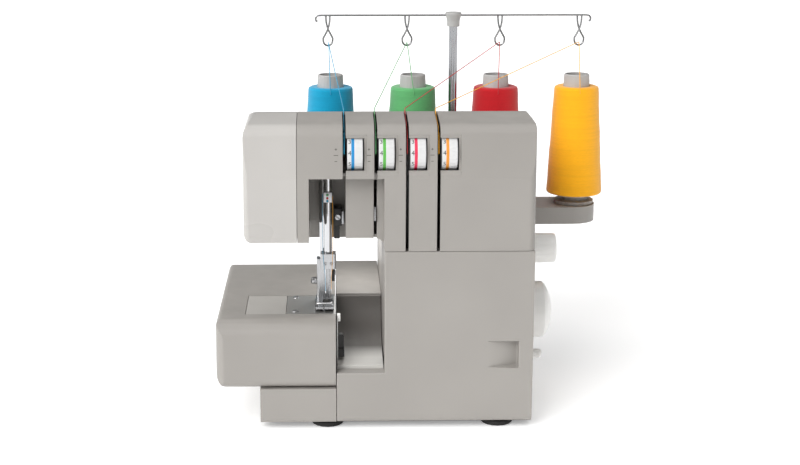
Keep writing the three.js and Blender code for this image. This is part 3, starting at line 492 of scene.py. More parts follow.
def block(name, x, y, z, material, body, rim=0.5, corner=0.8, **more):
    """A rounded box between the pairs x, y and z: a rounded rectangle in X and Y swept along Z."""
    plan = [(x[0], y[0], corner), (x[1], y[0], corner), (x[1], y[1], corner), (x[0], y[1], corner)]
    return slab(name, plan, "z", z[0], z[1], material, body, rim, **more)


def wire(name, path, radius, material, body, sides=12, **more):
    """A circle carried along a path: path + radius (cos a N + sin a B), with N and B square to the path
    and carried from point to point without twist."""
    path = np.asarray(path, float)
    along = np.gradient(path, axis=0)
    along /= np.linalg.norm(along, axis=1)[:, None]
    start = np.cross(along[0], (0, 0, 1) if abs(along[0][2]) < 0.9 else (1, 0, 0))
    across = [start / np.linalg.norm(start)]
    for direction in along[1:]:
        carried = across[-1] - (across[-1] @ direction) * direction
        across.append(carried / np.linalg.norm(carried))
    across = np.array(across)
    other = np.cross(along, across)
    angle = np.linspace(0, 2 * np.pi, sides, endpoint=False)[None, :, None]
    rings = path[:, None] + radius * (np.cos(angle) * across[:, None] + np.sin(angle) * other[:, None])
    return grid_piece(name, rings, material, body, **more)


def smooth_path(points, count):
    """A cubic through every chosen point, sampled evenly: Catmull-Rom, its ends doubled."""
    p = np.asarray(points, float)
    p = np.concatenate([2 * p[:1] - p[1:2], p, 2 * p[-1:] - p[-2:-1]])
    place = np.linspace(0, len(p) - 3 - 1e-9, count)
    i = place.astype(int)
    t = (place - i)[:, None]
    a, b, c, d = p[i], p[i + 1], p[i + 2], p[i + 3]
    return 0.5 * (2 * b + (c - a) * t + (2 * a - 5 * b + 4 * c - d) * t ** 2 + (3 * b - a - 3 * c + d) * t ** 3)


def softened(node, material, body, radius=0.6, angle=32, segments=2, cutters=()):
    """A merged copy of a CAD node, less its cutters, with its sharp edges rounded to the radius, standing
    for the node."""
    mesh = NODES[node].data.copy()
    mesh.name = node + "_moulding"
    mesh.materials.clear()
    work = bmesh.new()
    work.from_mesh(mesh)
    bmesh.ops.remove_doubles(work, verts=work.verts, dist=2e-6)
    bmesh.ops.dissolve_limit(work, angle_limit=math.radians(0.5), verts=work.verts, edges=work.edges)
    work.to_mesh(mesh)
    work.free()
    mesh.materials.append(FINISH[material])
    piece = bpy.data.objects.new(node + "_moulding", mesh)
    bpy.context.scene.collection.objects.link(piece)
    for cutter in cutters:
        cut = piece.modifiers.new("cut", "BOOLEAN")
        cut.operation = "DIFFERENCE"
        cut.solver = "EXACT"
        cut.object = cutter
    if cutters:
        shaped = bpy.data.meshes.new_from_object(piece.evaluated_get(bpy.context.evaluated_depsgraph_get()))
        piece.modifiers.clear()
        piece.data = mesh = shaped
        for cutter in cutters:
            bpy.data.objects.remove(cutter)
    mesh.shade_smooth()
    mesh.set_sharp_from_angle(angle=math.radians(angle))
    bevel = piece.modifiers.new("rounded_edges", "BEVEL")
    bevel.width = radius / 1000
    bevel.segments = segments
    bevel.limit_method = "ANGLE"
    bevel.angle_limit = math.radians(angle)
    bevel.use_clamp_overlap = True
    even = piece.modifiers.new("flat_faces", "WEIGHTED_NORMAL")
    even.mode = "FACE_AREA"
    even.weight = 100
    even.keep_sharp = True
    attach(piece, body)
    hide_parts(node)
    return piece


# ---- covers ----
SLOT_X = [-35 + 27.1 * k for k in range(4)]
DIAL_BOXES = [node_box("tension_dial_" + t) for t in THREADS]
DIAL_Y, DIAL_Z = ((DIAL_BOXES[0][0] + DIAL_BOXES[0][1]) / 2)[1:]
DIAL_RADIUS = (DIAL_BOXES[0][1][2] - DIAL_BOXES[0][0][2]) / 2
WINDOW_HALF = 13.8
LEAN_FROM, LEAN = 225.0, 5.5 / 45
SLOT_TO_WINDOW, WINDOW_WIDTH, SCOOP_SIDE = 1.4, 15.8, 2.2
SCOOP_DEPTH, SCOOP_ABOVE, SCOOP_BELOW = 2.1, 4.2, 3.8


def front_y(z):
    """The head's front face: upright below the crease, leaning back above it."""
    return -95 + max(0.0, z - LEAN_FROM) * LEAN


def window_scoop(k):
    """The shallow scoop round a dial's window, a wedge in Y and Z swept along X."""
    low, high = DIAL_Z - WINDOW_HALF, DIAL_Z + WINDOW_HALF
    top, bottom = high + SCOOP_ABOVE, low - SCOOP_BELOW
    outline = [
        (-99, top), (front_y(top) - 0.05, top), (front_y(high) + SCOOP_DEPTH, high + 0.6),
        (front_y(low) + SCOOP_DEPTH, low - 0.6), (front_y(bottom) - 0.05, bottom), (-99, bottom)]
    x = SLOT_X[k]
    return slab(f"scoop_{k}", outline, "x", x + 0.2, x + SLOT_TO_WINDOW + WINDOW_WIDTH + SCOOP_SIDE, "body",
                None, rim=0.01, steps=1)


softened("head_cover", "body", "machine", 0.45, cutters=[window_scoop(k) for k in range(4)])
softened("face_cover", "face", "machine", 0.5)
softened("rear_cover", "body", "machine", 0.5)
softened("looper_cover", "body", "looper_cover", 0.8)
softened("bed_extension", "body", "bed_extension", 0.7)
softened("lower_left_cover", "body", "machine", 0.7)
softened("bed_strip", "body", "machine", 0.4)
softened("free_arm", "arm", "machine", 0.3)
softened("spool_stand", "body", "machine", 0.8)
softened("waste_chute", "chute", "cover_frame", 0.4)
softened("needle_clamp", "steel_round", "needle_group", 0.9, segments=3)
softened("presser_foot", "steel_round", "presser_group", 0.5)

# ---- CAD pieces that keep their shape ----
KEPT = {
    "dark": ["base_pan", "power_inlet", "power_switch", "presser_lever", "finger_lever"],
    "cast": ["frame_casting", "motor"],
    "steel": ["main_shaft", "motor_pulley", "cover_hinge_rod", "lower_looper", "upper_looper"],
    "plate": ["needle_plate"],
    "rubber": ["foot_front_left", "foot_front_right", "foot_rear_left", "foot_rear_right", "drive_belt"],
    "pale": ["feed_lever", "stitch_length_dial", "handwheel"],
    "body": ["spool_pin_" + t for t in THREADS],
    "core": ["cone_core_" + t for t in THREADS],
    "chrome": ["needle_bar", "needle_left", "needle_right", "presser_bar"],
}
for finish, names in KEPT.items():
    for name in names:
        node = NODES[name]
        for place in node.material_slots:
            place.material = FINISH[finish]
for thread in THREADS:
    for place in NODES["tension_dial_" + thread].material_slots:
        place.material = FINISH["white"]


# ---- thread cones ----
CONE_SIDES = 256
CONE_ROWS = 300


def thread_cone(thread):
    """Cross-wound cone: outer radius R(z) = base + (top - base) z / height with rounded shoulders, plus
    ridges a (cos(2 pi z / p + n a) + cos(2 pi z / p - n a)); inside it follows the tube's taper."""
    low, high = node_box("thread_cone_" + thread)
    centre = ((low[0] + high[0]) / 2, (low[1] + high[1]) / 2, low[2])
    height = high[2] - low[2]
    base = (high[0] - low[0]) / 2 - 0.15
    top = base - 5.7
    core = node_box("cone_core_" + thread)
    core_low = (core[1][0] - core[0][0]) / 2 + 0.35
    core_high = core_low - 6.0
    skin = rounded([(base - 0.1, 0, 2.2), (base, 3.0, 2.0), (top + 0.1, height - 1.5, 2.6), (top - 2.4, height, 0.8),
                    (core_high, height), (core_low, 0)])
    outside = skin[: len(skin) - 2]
    heights = np.linspace(outside[0, 1], height - 1.0, CONE_ROWS)
    keep = outside[: int(np.argmax(outside[:, 1] > height - 1.2))]
    radii = np.interp(heights, keep[:, 1], keep[:, 0])
    crest = outside[int(np.argmax(outside[:, 1] > height - 1.2)):]
    angle = np.linspace(0, 2 * np.pi, CONE_SIDES, endpoint=False)[None, :]
    z = heights[:, None]
    lift = np.cos(2 * np.pi * z / 1.1 + 2 * angle) * 0.6 + np.cos(2 * np.pi * z / 1.37 - 3 * angle) * 0.4
    swell = 0.12 * np.sin(z / 7.3 + angle) + 0.08 * np.sin(z / 3.1 - 2 * angle)
    radius = radii[:, None] + 0.07 * lift + swell * np.clip((z - 1) / 6, 0, 1)
    rows = [np.stack([radius * np.cos(angle), radius * np.sin(angle), z + 0 * angle], -1)]
    closing = np.concatenate([crest, [[core_high, height - 0.2], [core_low, 0.2], [core_low + 1.5, 0.0]]])
    rows.append(np.stack([
        closing[:, :1] * np.cos(angle), closing[:, :1] * np.sin(angle), closing[:, 1:] + 0 * angle], -1))
    points = np.concatenate(rows)
    points = np.concatenate([points, points[:1]])
    crown = np.concatenate([lift * 0.5 + 0.5, np.full((len(points) - len(lift), CONE_SIDES), 0.5)])
    return grid_piece(
        "wound_cone_" + thread, np.array(centre) + points, "cone_" + thread, "machine", ends=False, sharp=60,
        uv=(1, 1), crown=crown, stands_for=("thread_cone_" + thread,), slot="thread_" + thread)


for thread in THREADS:
    thread_cone(thread)


# ---- threads, from each cone through its loop into its slot ----
# heights and depths are shared; each thread has its own X at the cone, the loop, the head and the slot
ROUTE_YZ = ((110.5, 268), (130, 313.2), (133.4, 316.7), (131.2, 317.1), (-38, 277.3), (-43, 276.2), (-50, 272),
            (-76, 268), (-86, 262), (-90.3, 246))
ROUTE_X = {
    "blue": (-46.2, -47.6, -48.2, -48.1, -35.2, -35),
    "green": (36.1, 30.6, 30, 29.8, -7.6, -7.9),
    "red": (119.1, 122, 122.4, 121.8, 19.6, 19.2),
    "yellow": (200.4, 201.3, 201.5, 200.7, 46.8, 46.3),
}


def thread_route(thread):
    """A thread's points: its own X values, the last kept all the way down the slot."""
    across = ROUTE_X[thread]
    across += across[-1:] * (len(ROUTE_YZ) - len(across))
    return [(x, y, z) for x, (y, z) in zip(across, ROUTE_YZ)]


def straight_path(points, spacing=4.0):
    """Points along the straight runs of a route, no further apart than the spacing."""
    p = np.asarray(points, float)
    steps = np.maximum(1, np.ceil(np.linalg.norm(np.diff(p, axis=0), axis=1) / spacing)).astype(int)
    runs = [p[i] + (p[i + 1] - p[i]) * np.linspace(0, 1, n, endpoint=False)[:, None] for i, n in enumerate(steps)]
    return np.concatenate(runs + [p[-1:]])


THREAD_RADIUS = 0.38
for thread in THREADS:
    line = wire("taut_thread_" + thread, straight_path(thread_route(thread)), THREAD_RADIUS, "line_" + thread, None,
                sides=8, uv=(1, 1))
    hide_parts("thread_" + thread)
    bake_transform(line)


# ---- tension dials: numbered rim, coloured band and a fluted grip ----


def ring(name, centre, x, inner, outer, material, body, **more):
    """A flat ring about an X axis: a rounded rectangle in radius and height, carried round."""
    section = rounded([(inner, x[0], 0.0), (outer, x[0], 0.05), (outer, x[1], 0.05), (inner, x[1], 0.0)])
    angle = np.linspace(0, 2 * np.pi, 96, endpoint=False)[None, :]
    section = np.concatenate([section, section[:1]])
    local = np.stack([section[:, :1] * np.cos(angle), section[:, :1] * np.sin(angle),
                      section[:, 1:] + 0 * angle], -1)
    return grid_piece(name, np.array(centre, float) + local @ AXES["x"], material, body, ends=False, **more)


def numerals(name, texts, height, place, material, body):
    """Digits as one mesh: each is made flat, then place(k, points) wraps its points onto the dial."""
    points, faces, start = [], [], 0
    for k, text in enumerate(texts):
        curve = bpy.data.curves.new("digit", "FONT")
        curve.body = text
        curve.size = height / 0.7
        curve.align_x = "CENTER"
        curve.align_y = "CENTER"
        curve.extrude = 0.03
        curve.resolution_u = 3
        glyph = bpy.data.objects.new("digit", curve)
        bpy.context.scene.collection.objects.link(glyph)
        mesh = bpy.data.meshes.new_from_object(glyph.evaluated_get(bpy.context.evaluated_depsgraph_get()))
        flat = np.empty(len(mesh.vertices) * 3)
        mesh.vertices.foreach_get("co", flat)
        points.append(place(k, flat.reshape(-1, 3)))
        faces += [[v + start for v in polygon.vertices] for polygon in mesh.polygons]
        start += len(mesh.vertices)
        bpy.data.objects.remove(glyph)
    mesh = bpy.data.meshes.new(name)
    mesh.from_pydata(placed(np.concatenate(points)), [], faces)
    return finished(name, mesh, material, body, 40)


def round_the_dial(centre, radius, x, spacing, first):
    """Wraps a flat digit round an X axis: its width runs along X, its height round the rim."""
    def place(k, flat):
        angle = first + k * spacing - flat[:, 1] / radius
        reach = radius + flat[:, 2]
        return np.stack([x + flat[:, 0], centre[1] - reach * np.cos(angle), centre[2] - reach * np.sin(angle)], 1)
    return place


for k, thread in enumerate(THREADS):
    low, high = DIAL_BOXES[k]
    body = "tension_dial_" + thread
    x0, width = low[0], high[0] - low[0]
    middle = (0, DIAL_Y, DIAL_Z)
    rim, grip, step = DIAL_RADIUS - 0.45, DIAL_RADIUS - 0.14, 6.4
    profile = rounded([(0, x0), (rim, x0, 0.4), (rim, x0 + step, 0.1), (grip, x0 + step + 0.4, 0.2),
                       (grip, x0 + width, 0.7), (0, x0 + width)])
    heights = np.linspace(x0 + step + 0.5, x0 + width - 0.9, 10)
    keep_low = profile[profile[:, 1] < x0 + step + 0.45]
    keep_high = profile[profile[:, 1] > x0 + width - 0.85]
    profile = np.concatenate([keep_low, np.stack([0 * heights + grip, heights], 1), keep_high])

    def flutes(height, angle, start=x0 + step, end=x0 + width):
        """Thirty shallow flutes over the grip, fading at both of its ends."""
        fade = np.clip((height - start - 0.3) / 0.8, 0, 1) * np.clip((end - 0.5 - height) / 0.8, 0, 1)
        return 0.13 * np.cos(30 * angle) * fade

    turned("tension_wheel_" + thread, profile, "x", middle, "white", body, sides=240, ripple=flutes,
           stands_for=("tension_dial_" + thread,), slot="pale_plastic", sharp=50)
    ring("tension_band_" + thread, middle, (x0 + 3.5, x0 + 6.1), rim - 0.3, rim + 0.07, "band_" + thread, body)
    numerals("tension_numbers_" + thread, list("0123456789"), 3.9,
             round_the_dial(middle, rim + 0.03, x0 + 2.15, 2 * math.pi / 10, math.radians(-150)), "black_ink", body)

# ---- plus, pointer and minus marks beside each slot ----


def flat_mark(name, rectangles):
    """Thin printed bars on the leaning front: rectangles (x0, x1, z0, z1), front 0.06 mm proud."""
    points, faces = [], []
    for x0, x1, z0, z1 in rectangles:
        start = len(points) * 8
        corners = [(x, z) for z in (z0, z1) for x in (x0, x1)]
        points.append([(x, front_y(z) + depth, z) for depth in (-0.06, 0.05) for x, z in corners])
        faces += [[start + i for i in face] for face in
                  ((0, 1, 3, 2), (4, 6, 7, 5), (0, 4, 5, 1), (2, 3, 7, 6), (0, 2, 6, 4), (1, 5, 7, 3))]
    mesh = bpy.data.meshes.new(name)
    mesh.from_pydata(placed(np.array(points).reshape(-1, 3)), [], faces)
    return finished(name, mesh, "ink", "machine")


MARK_FROM_SLOT = (7.1, 5.9, 5.8, 5.8)
PLUS_Z, POINTER_Z, MINUS_Z = 250.3, 245.0, 239.8
for k, thread in enumerate(THREADS):
    x = SLOT_X[k] - MARK_FROM_SLOT[k]
    half = 0.24
    flat_mark("marks_" + thread, [
        (x - 1.0, x - half, PLUS_Z - half, PLUS_Z + half), (x + half, x + 1.0, PLUS_Z - half, PLUS_Z + half),
        (x - half, x + half, 249.3, 251.3), (x - 1.9, x + 1.9, POINTER_Z, POINTER_Z + 2 * half),
        (x - 1.1, x + 1.1, MINUS_Z, MINUS_Z + 2 * half)])

# ---- screws ----


def screw(name, centre, axis, radius, height, body, material="steel_round", slot_width=0.5, turn=0.6):
    """A domed screw head with a sawn slot: r from a rounded profile, and height lowered by a smooth trench
    where the distance across the slot's line is small."""
    profile = rounded([(0, 0), (radius, 0, 0.05), (radius, height, 0.35 * height), (0, height)])
    rows = np.concatenate([profile[:-1], np.stack([np.linspace(radius * 0.9, 0, 10), np.full(10, height)], 1)])
    angle = np.linspace(0, 2 * np.pi, 72, endpoint=False)[None, :]
    u, v = rows[:, :1] * np.cos(angle), rows[:, :1] * np.sin(angle)
    across = np.abs(u * math.sin(turn) - v * math.cos(turn))
    trench = 1 / (1 + np.exp((across - slot_width) * 14)) * 0.55 * height
    top = rows[:, 1:] + 0 * angle
    top = np.where(top > 0.6 * height, top - trench, top)
    local = np.stack([u, v, top], -1)
    centre = np.asarray(centre, float)
    direction = AXES[axis.strip("-")].copy()
    if axis.startswith("-"):
        direction[2] *= -1
        direction[0] *= -1
    return grid_piece(name, centre + local @ direction, material, body, sharp=45)


needle_plate = node_box("needle_plate")
plate_top = needle_plate[1][2]
for name, y in (("plate_screw_rear", -17.6), ("plate_screw_front", -61.5)):
    screw(name, (-78.5, y, plate_top - 0.02), "z", 3.0, 0.75, "machine", turn=0.3)

# ---- needle recess: bar slot, thread guides and bracket ----
block("needle_bar_slot", (-52.4, -45.6), (-16.9, -16.1), (170.5, 222), "dark", "machine", rim=0.2)
block("bar_thread_guide", (-53.6, -45.0), (-43.6, -41.6), (193, 202.6), "steel", "needle_group", rim=0.5)
for name, z, finish in (("guide_eye_upper", 200.2, "line_green"), ("guide_eye_middle", 197.2, "line_red"),
                        ("guide_eye_lower", 194.6, "line_blue")):
    turned(name, rounded([(0, 0), (1.1, 0, 0.2), (1.1, 0.5, 0.2), (0, 0.5)]), "y", (-49.6, -44.0, z), finish,
           "needle_group", sides=24)
block("recess_skirt", (-68.5, -32.0), (-16.1, -13.6), (154.6, 171.6), "body", "machine", rim=0.4, corner=0.4)
block("recess_bracket", (-43.9, -36.4), (-34, -16.3), (169.6, 185.2), "dark", "machine", rim=0.6)
block("recess_bracket_foot", (-43.6, -38.6), (-33.4, -22), (157.6, 170.4), "dark", "machine", rim=0.5)
screw("bracket_screw", (-40.2, -33.9, 177.6), "-y", 2.7, 1.3, "machine", turn=0.9)
block("bracket_plate", (-36.9, -34.4), (-36.2, -30.5), (171.5, 183.4), "steel", "machine", rim=0.3)
block("slot_thread_clip", (-9.0, -6.9), (-80.6, -77.6), (184.6, 197.2), "wire", "machine", rim=0.5)

# ---- needle clamp and presser foot ----
clamp = node_box("needle_clamp")
for name, x in (("clamp_screw_left", -51.8), ("clamp_screw_right", -46.3)):
    screw(name, (x, clamp[0][1] + 0.05, 137.2), "-y", 1.5, 0.8, "needle_group", turn=1.1, slot_width=0.3)
foot = node_box("presser_foot")
screw("ankle_thumb_screw", (foot[0][0] + 0.9, -27, 116.8), "-x", 3.3, 5.4, "presser_group", "steel_round")
turned("thumb_screw_washer", rounded([(0, 0), (2.6, 0, 0.3), (2.6, 1.2, 0.3), (0, 1.2)]), "x",
       (foot[0][0] - 0.7, -27, 116.8), "dark", "presser_group", sides=32)

# ---- threads at the needles ----
for name, thread, path in (
    ("needle_thread_left", "blue", [(-53.9, -44.4, 201.6), (-54.0, -44.9, 190), (-53.8, -45.6, 150),
                                    (-52.6, -45.8, 134), (-51.8, -42.4, 124), (-51.6, -41.0, 110.6)]),
    ("needle_thread_right", "yellow", [(-45.0, -44.4, 199), (-44.9, -44.9, 188), (-44.9, -45.6, 150),
                                       (-45.6, -45.8, 134), (-46.3, -42.4, 124), (-46.4, -41.0, 112.4)]),
):
    wire(name, smooth_path(path, 60), 0.2, "line_" + thread, "needle_group", sides=6, uv=(1, 1))

# ---- foot bracket, release, and the chute's edge strip and tab ----
bracket = [(-59.2, -47, 101.8), (-59.4, -56, 102.6), (-59.2, -62.4, 105.0), (-57.8, -63.6, 105.6),
           (-52.6, -63.9, 105.8), (-47.4, -63.6, 105.6), (-46.0, -62.4, 105.0), (-45.8, -56, 102.6),
           (-46.0, -47, 101.8)]
wire("foot_front_bracket", smooth_path(bracket, 60), 0.85, "white_metal", "presser_group", sides=12)
block("foot_release", (-46.4, -43.0), (-31, -21.4), (117, 131), "dark", "presser_group", rim=0.5)
block("foot_release_pin", (-43.1, -42.2), (-28, -25), (122, 126), "steel", "presser_group", rim=0.3)
block("chute_edge_strip", (-41.5, -40.7), (-71.2, -68.8), (54.0, 97.6), "pale", "cover_frame", rim=0.2,
      corner=0.2)
block("chute_edge_tab", (-41.5, -38.4), (-71.4, -68.6), (91.2, 98.2), "pale", "cover_frame", rim=0.4)

# ---- telescopic mast and guide bar ----
MAST_X, MAST_Y = 76.0, 134.0
WIRE_Z, WIRE_RADIUS, WIRE_REACH = 343.7, 0.9, 136.6
LOOP_OFFSETS = (-124.5, -46.0, 46.4, 125.5)


def mast_grooves(height, angle):
    """Three lengthwise grooves that keep the tubes from turning in each other."""
    return -0.7 * np.exp(-((np.mod(angle + np.pi / 6, 2 * np.pi / 3) - np.pi / 3) / 0.16) ** 2)


def lower_grooves(height, angle):
    """The same grooves, on the tube's straight length only."""
    fade = np.clip((height - 165) / 3, 0, 1) * np.clip((234 - height) / 2, 0, 1)
    return mast_grooves(height, angle) * fade


mast_low, mast_high = node_box("mast_lower")
upper_low, upper_high = node_box("mast_upper")
bore_floor = max(upper_low[2] - 26, mast_low[2] + 1)
collar = rounded([(0, mast_low[2]), (5.5, mast_low[2]), (5.5, 153.9), (10, 153.9, 0.5), (10, 157.5, 1.2),
                  (6.6, 159.5, 1.5), (5.5, 163, 2)])
tube_rows = np.stack([np.full(24, 5.5), np.linspace(164, mast_high[2] - 0.8, 24)], 1)
lip = rounded([(5.5, mast_high[2] - 0.6), (5.5, mast_high[2], 0.4), (4.75, mast_high[2], 0.2),
               (4.75, bore_floor), (0, bore_floor)])
turned("mast_tube_lower", np.concatenate([collar, tube_rows, lip]), "z", (MAST_X, MAST_Y, 0), "mast", "machine",
       sides=144, ripple=lower_grooves, stands_for=("mast_lower",), slot="chrome")
turned("mast_tube_upper", [(0, upper_low[2]), (4.3, upper_low[2]), (4.3, upper_high[2]), (0, upper_high[2])], "z",
       (MAST_X, MAST_Y, 0), "mast", "mast_top", sides=144, ripple=mast_grooves, stands_for=("mast_upper",),
       slot="chrome")


def wire_loop(x):
    """A wire loop: X swings by sin(pi t) tapered towards its ends, so that it crosses itself; Z drops by
    cos(pi t / 2) to a power; Y steps from one side of the bar to the other."""
    t = np.linspace(-1, 1, 72)
    sweep = np.pi * t
    swing = 5.7 * np.sin(sweep) * np.minimum(1, 1.25 * np.cos(sweep * 0.62) + 0.35)
    depth = 30 * np.maximum(np.cos(np.pi / 2 * t), 0) ** 0.75
    return np.stack([x + swing - 2 * t, MAST_Y + 1.4 * t, WIRE_Z - depth], 1)


def bent_end(side):
    """The bar's end, bent down and back on itself: points from the bar to the crook's tip."""
    reach = np.array([(-5.5, 0.0), (-2.0, -0.5), (-0.2, -2.6), (-0.3, -5.2), (-1.8, -6.0)])
    return [(MAST_X + side * (WIRE_REACH + dx), MAST_Y, WIRE_Z + dz) for dx, dz in reach]


bar_line = smooth_path(bent_end(-1)[::-1], 28).tolist()
bar_line += [(MAST_X + u * (WIRE_REACH - 5.5), MAST_Y, WIRE_Z) for u in np.linspace(-0.95, 0.95, 24)]
bar_line += smooth_path(bent_end(1), 28).tolist()
wire("guide_wire", bar_line, WIRE_RADIUS, "wire", "mast_top", sides=16, stands_for=("guide_bar",), slot="chrome")
for k, offset in enumerate(LOOP_OFFSETS):
    wire("guide_loop_" + THREADS[k], wire_loop(MAST_X + offset), WIRE_RADIUS, "wire", "mast_top", sides=14)
turned("guide_hub", rounded([
    (4.7, WIRE_Z - 11), (6.2, WIRE_Z - 11, 0.5), (6.3, WIRE_Z - 5.4, 2.0), (8.0, WIRE_Z + 1.2, 0.8),
    (7.9, WIRE_Z + 2.98, 0.7), (0, WIRE_Z + 2.98), (0, WIRE_Z - 3), (4.7, WIRE_Z - 3), (4.7, WIRE_Z - 11)]), "z",
    (MAST_X, MAST_Y, 0), "hub", "mast_top", sides=64, ends=False)

# ---- stitch dial, handwheel and lever on the right ----
dial_low, dial_high = node_box("stitch_length_dial")
dial_radius = (dial_high[2] - dial_low[2]) / 2
dial_y, dial_z = (dial_low[1] + dial_high[1]) / 2, (dial_low[2] + dial_high[2]) / 2
dial_profile = rounded([(0, dial_low[0]), (4, dial_low[0]), (4, 131.4), (dial_radius - 0.3, 131.4, 0.6),
                        (dial_radius - 0.25, 142, 0.2), (dial_radius - 0.15, 142.4, 0.2),
                        (dial_radius - 0.45, dial_high[0] - 0.01, 2.0), (0, dial_high[0] - 0.01)])
grip_rows = np.linspace(142.6, dial_high[0] - 3.2, 12)
dial_profile = np.concatenate([
    dial_profile[dial_profile[:, 1] < 142.5],
    np.stack([np.interp(grip_rows, [142.5, dial_high[0]], [dial_radius - 0.15, dial_radius - 0.45]), grip_rows], 1),
    dial_profile[dial_profile[:, 1] > dial_high[0] - 3.0]])


def dial_flutes(height, angle):
    """Wide shallow flutes on the outer part of the dial, fading at both ends."""
    fade = np.clip((height - 142.5) / 2, 0, 1) * np.clip((dial_high[0] - 2.2 - height) / 2, 0, 1)
    return -0.35 * (0.5 - 0.5 * np.cos(20 * angle)) ** 3 * fade


turned("stitch_dial_grip", dial_profile, "x", (0, dial_y, dial_z), "pale", "stitch_length_dial", sides=240,
       ripple=dial_flutes, stands_for=("stitch_length_dial",), slot="pale_plastic", sharp=50)
numerals("stitch_dial_numbers", list("1234"), 2.6, round_the_dial(
    (0, dial_y, dial_z), dial_radius - 0.26, 136.6, -math.radians(38), math.radians(50)), "ink",
    "stitch_length_dial")

wheel_low, wheel_high = node_box("handwheel")
wheel_radius = (wheel_high[2] - wheel_low[2]) / 2
wheel_y, wheel_z = (wheel_low[1] + wheel_high[1]) / 2, (wheel_low[2] + wheel_high[2]) / 2
wheel_start, wheel_end = wheel_low[0], wheel_high[0] - 0.02
wheel_profile = rounded([
    (5.3, wheel_start), (wheel_radius - 0.8, wheel_start, 0.8), (wheel_radius - 0.05, wheel_start + 1.2, 0.5),
    (wheel_radius - 0.05, wheel_end - 8.4, 1.2), (wheel_radius - 2.6, wheel_end - 5.6, 4.0),
    (wheel_radius * 0.55, wheel_end - 1.0, 20), (3.0, wheel_end - 0.1, 1.0), (2.2, wheel_end - 0.7, 0.4),
    (0, wheel_end - 0.7)], math.radians(5))
bore = np.array([[0, wheel_start + 5], [5.3, wheel_start + 5]])


def wheel_grooves(height, angle):
    """Faint grip grooves round the wheel's rim."""
    fade = np.clip((height - wheel_start - 2.5) / 2, 0, 1) * np.clip((wheel_end - 10.5 - height) / 2, 0, 1)
    return -0.12 * (0.5 + 0.5 * np.cos(72 * angle)) ** 2 * fade


rim_rows = np.linspace(wheel_start + 2.4, wheel_end - 10.4, 10)
wheel_profile = np.concatenate([
    bore, wheel_profile[wheel_profile[:, 1] < wheel_start + 2.0],
    np.stack([0 * rim_rows + wheel_radius - 0.05, rim_rows], 1),
    wheel_profile[wheel_profile[:, 1] > wheel_end - 10.2]])
turned("handwheel_rim", wheel_profile, "x", (0, wheel_y, wheel_z), "pale", "drive_line", sides=288,
       ripple=wheel_grooves, stands_for=("handwheel",), slot="pale_plastic", sharp=50)

# ---- floor, lights and camera ----


def studio_floor():
    """A pale flat floor, a 3 x 3 grid wide enough to pass the view's edges, that gives off a little light."""
    side = np.linspace(-6, 6, 3)
    x, y = np.meshgrid(side, side)
    mesh = bpy.data.meshes.new("studio_floor")
    points = np.stack([x, y, 0 * x - 0.0002], -1).reshape(-1, 3)
    faces = [[r * 3 + c, r * 3 + c + 1, r * 3 + c + 4, r * 3 + c + 3] for r in range(2) for c in range(2)]
    mesh.from_pydata(points, [], faces)
    material, s, shader = new_material("pale_floor", Roughness=0.9)
    at = s.node("ShaderNodeTexCoord").outputs["Object"]
    s.feed(shader.inputs["Base Color"], s.blend_colours(
        s.noise(at, 3.0), (0.95, 0.95, 0.95, 1), (0.96, 0.96, 0.96, 1)))
    shader.inputs["Specular IOR Level"].default_value = 0.1
    shader.inputs["Emission Color"].default_value = (1, 1, 1, 1)
    shader.inputs["Emission Strength"].default_value = 0.3
    mesh.materials.append(material)
    floor = bpy.data.objects.new("studio_floor", mesh)
    bpy.context.scene.collection.objects.link(floor)


WORK_LIGHT_PLACE = (-22, 30, 163)
WORK_LIGHT_SIZE = (0.030, 0.080)


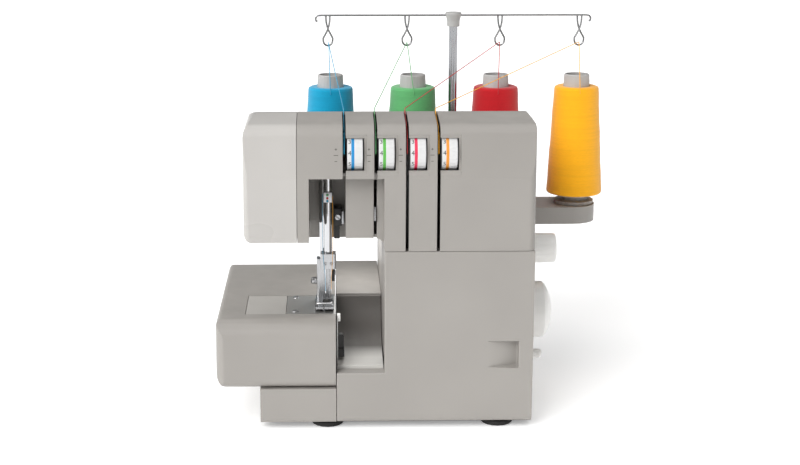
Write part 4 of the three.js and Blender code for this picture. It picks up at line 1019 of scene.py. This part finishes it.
def studio_lamp(name, azimuth, elevation, strength, spread):
    """A broad even light from an azimuth (0 is the front, positive to the right) and height, in degrees."""
    data = bpy.data.lights.new(name, "SUN")
    data.energy = strength
    data.angle = math.radians(spread)
    lamp = bpy.data.objects.new(name, data)
    lamp.rotation_euler = (math.radians(90 - elevation), 0, math.radians(azimuth))
    lamp.location = (0, 0, 2)
    bpy.context.scene.collection.objects.link(lamp)


def studio_world():
    """Even white surroundings with two soft dark strips near the horizon for the bright metal."""
    world = bpy.data.worlds.new("studio")
    world.use_nodes = True
    tree = world.node_tree
    s = Sheet(tree)
    ground = tree.nodes["Background"]
    split = s.node("ShaderNodeSeparateXYZ", Vector=s.node("ShaderNodeTexCoord").outputs["Generated"])
    side = s.maths("ABSOLUTE", split.outputs["X"])
    strip = s.span(s.maths("ABSOLUTE", s.maths("SUBTRACT", side, 0.72)), 0.08, 0.2, 1.0, 0.0)
    near = s.span(s.maths("ABSOLUTE", split.outputs["Z"]), 0.3, 0.5, 1.0, 0.0)
    dark = s.maths("MULTIPLY", strip, near)
    s.feed(ground.inputs["Color"], s.blend_colours(dark, (1, 1, 1, 1), (0.02, 0.02, 0.02, 1)))
    ground.inputs["Strength"].default_value = 0.34
    bpy.context.scene.world = world


studio_floor()
studio_world()
studio_lamp("key_light", -35, 34, 2.0, 36)
studio_lamp("side_light", -82, 24, 0.9, 40)
studio_lamp("top_light", 10, 84, 0.8, 60)


def work_light():
    """A small lamp under the head that lights the bed below it."""
    data = bpy.data.lights.new("work_light", "AREA")
    data.shape = "RECTANGLE"
    data.size, data.size_y = WORK_LIGHT_SIZE
    data.energy = 0.055
    lamp = bpy.data.objects.new("work_light", data)
    lamp.location = placed(WORK_LIGHT_PLACE)
    bpy.context.scene.collection.objects.link(lamp)


work_light()

CAMERA_PLACE = placed((-48.5, -1354.5, 483.1))
CAMERA_PITCH = 0.195
CAMERA_YAW = -0.0214
view = bpy.data.cameras.new("product_view")
view.lens = 67.6
view.sensor_width = 36.0
view.shift_x = 0.05
view.shift_y = -0.08
view.clip_start, view.clip_end = 0.05, 50
camera = bpy.data.objects.new("product_view", view)
camera.location = CAMERA_PLACE
camera.rotation_euler = (math.pi / 2 - CAMERA_PITCH, 0, CAMERA_YAW)
bpy.context.scene.collection.objects.link(camera)
bpy.context.scene.camera = camera
bpy.context.scene.view_settings.view_transform = "Standard"
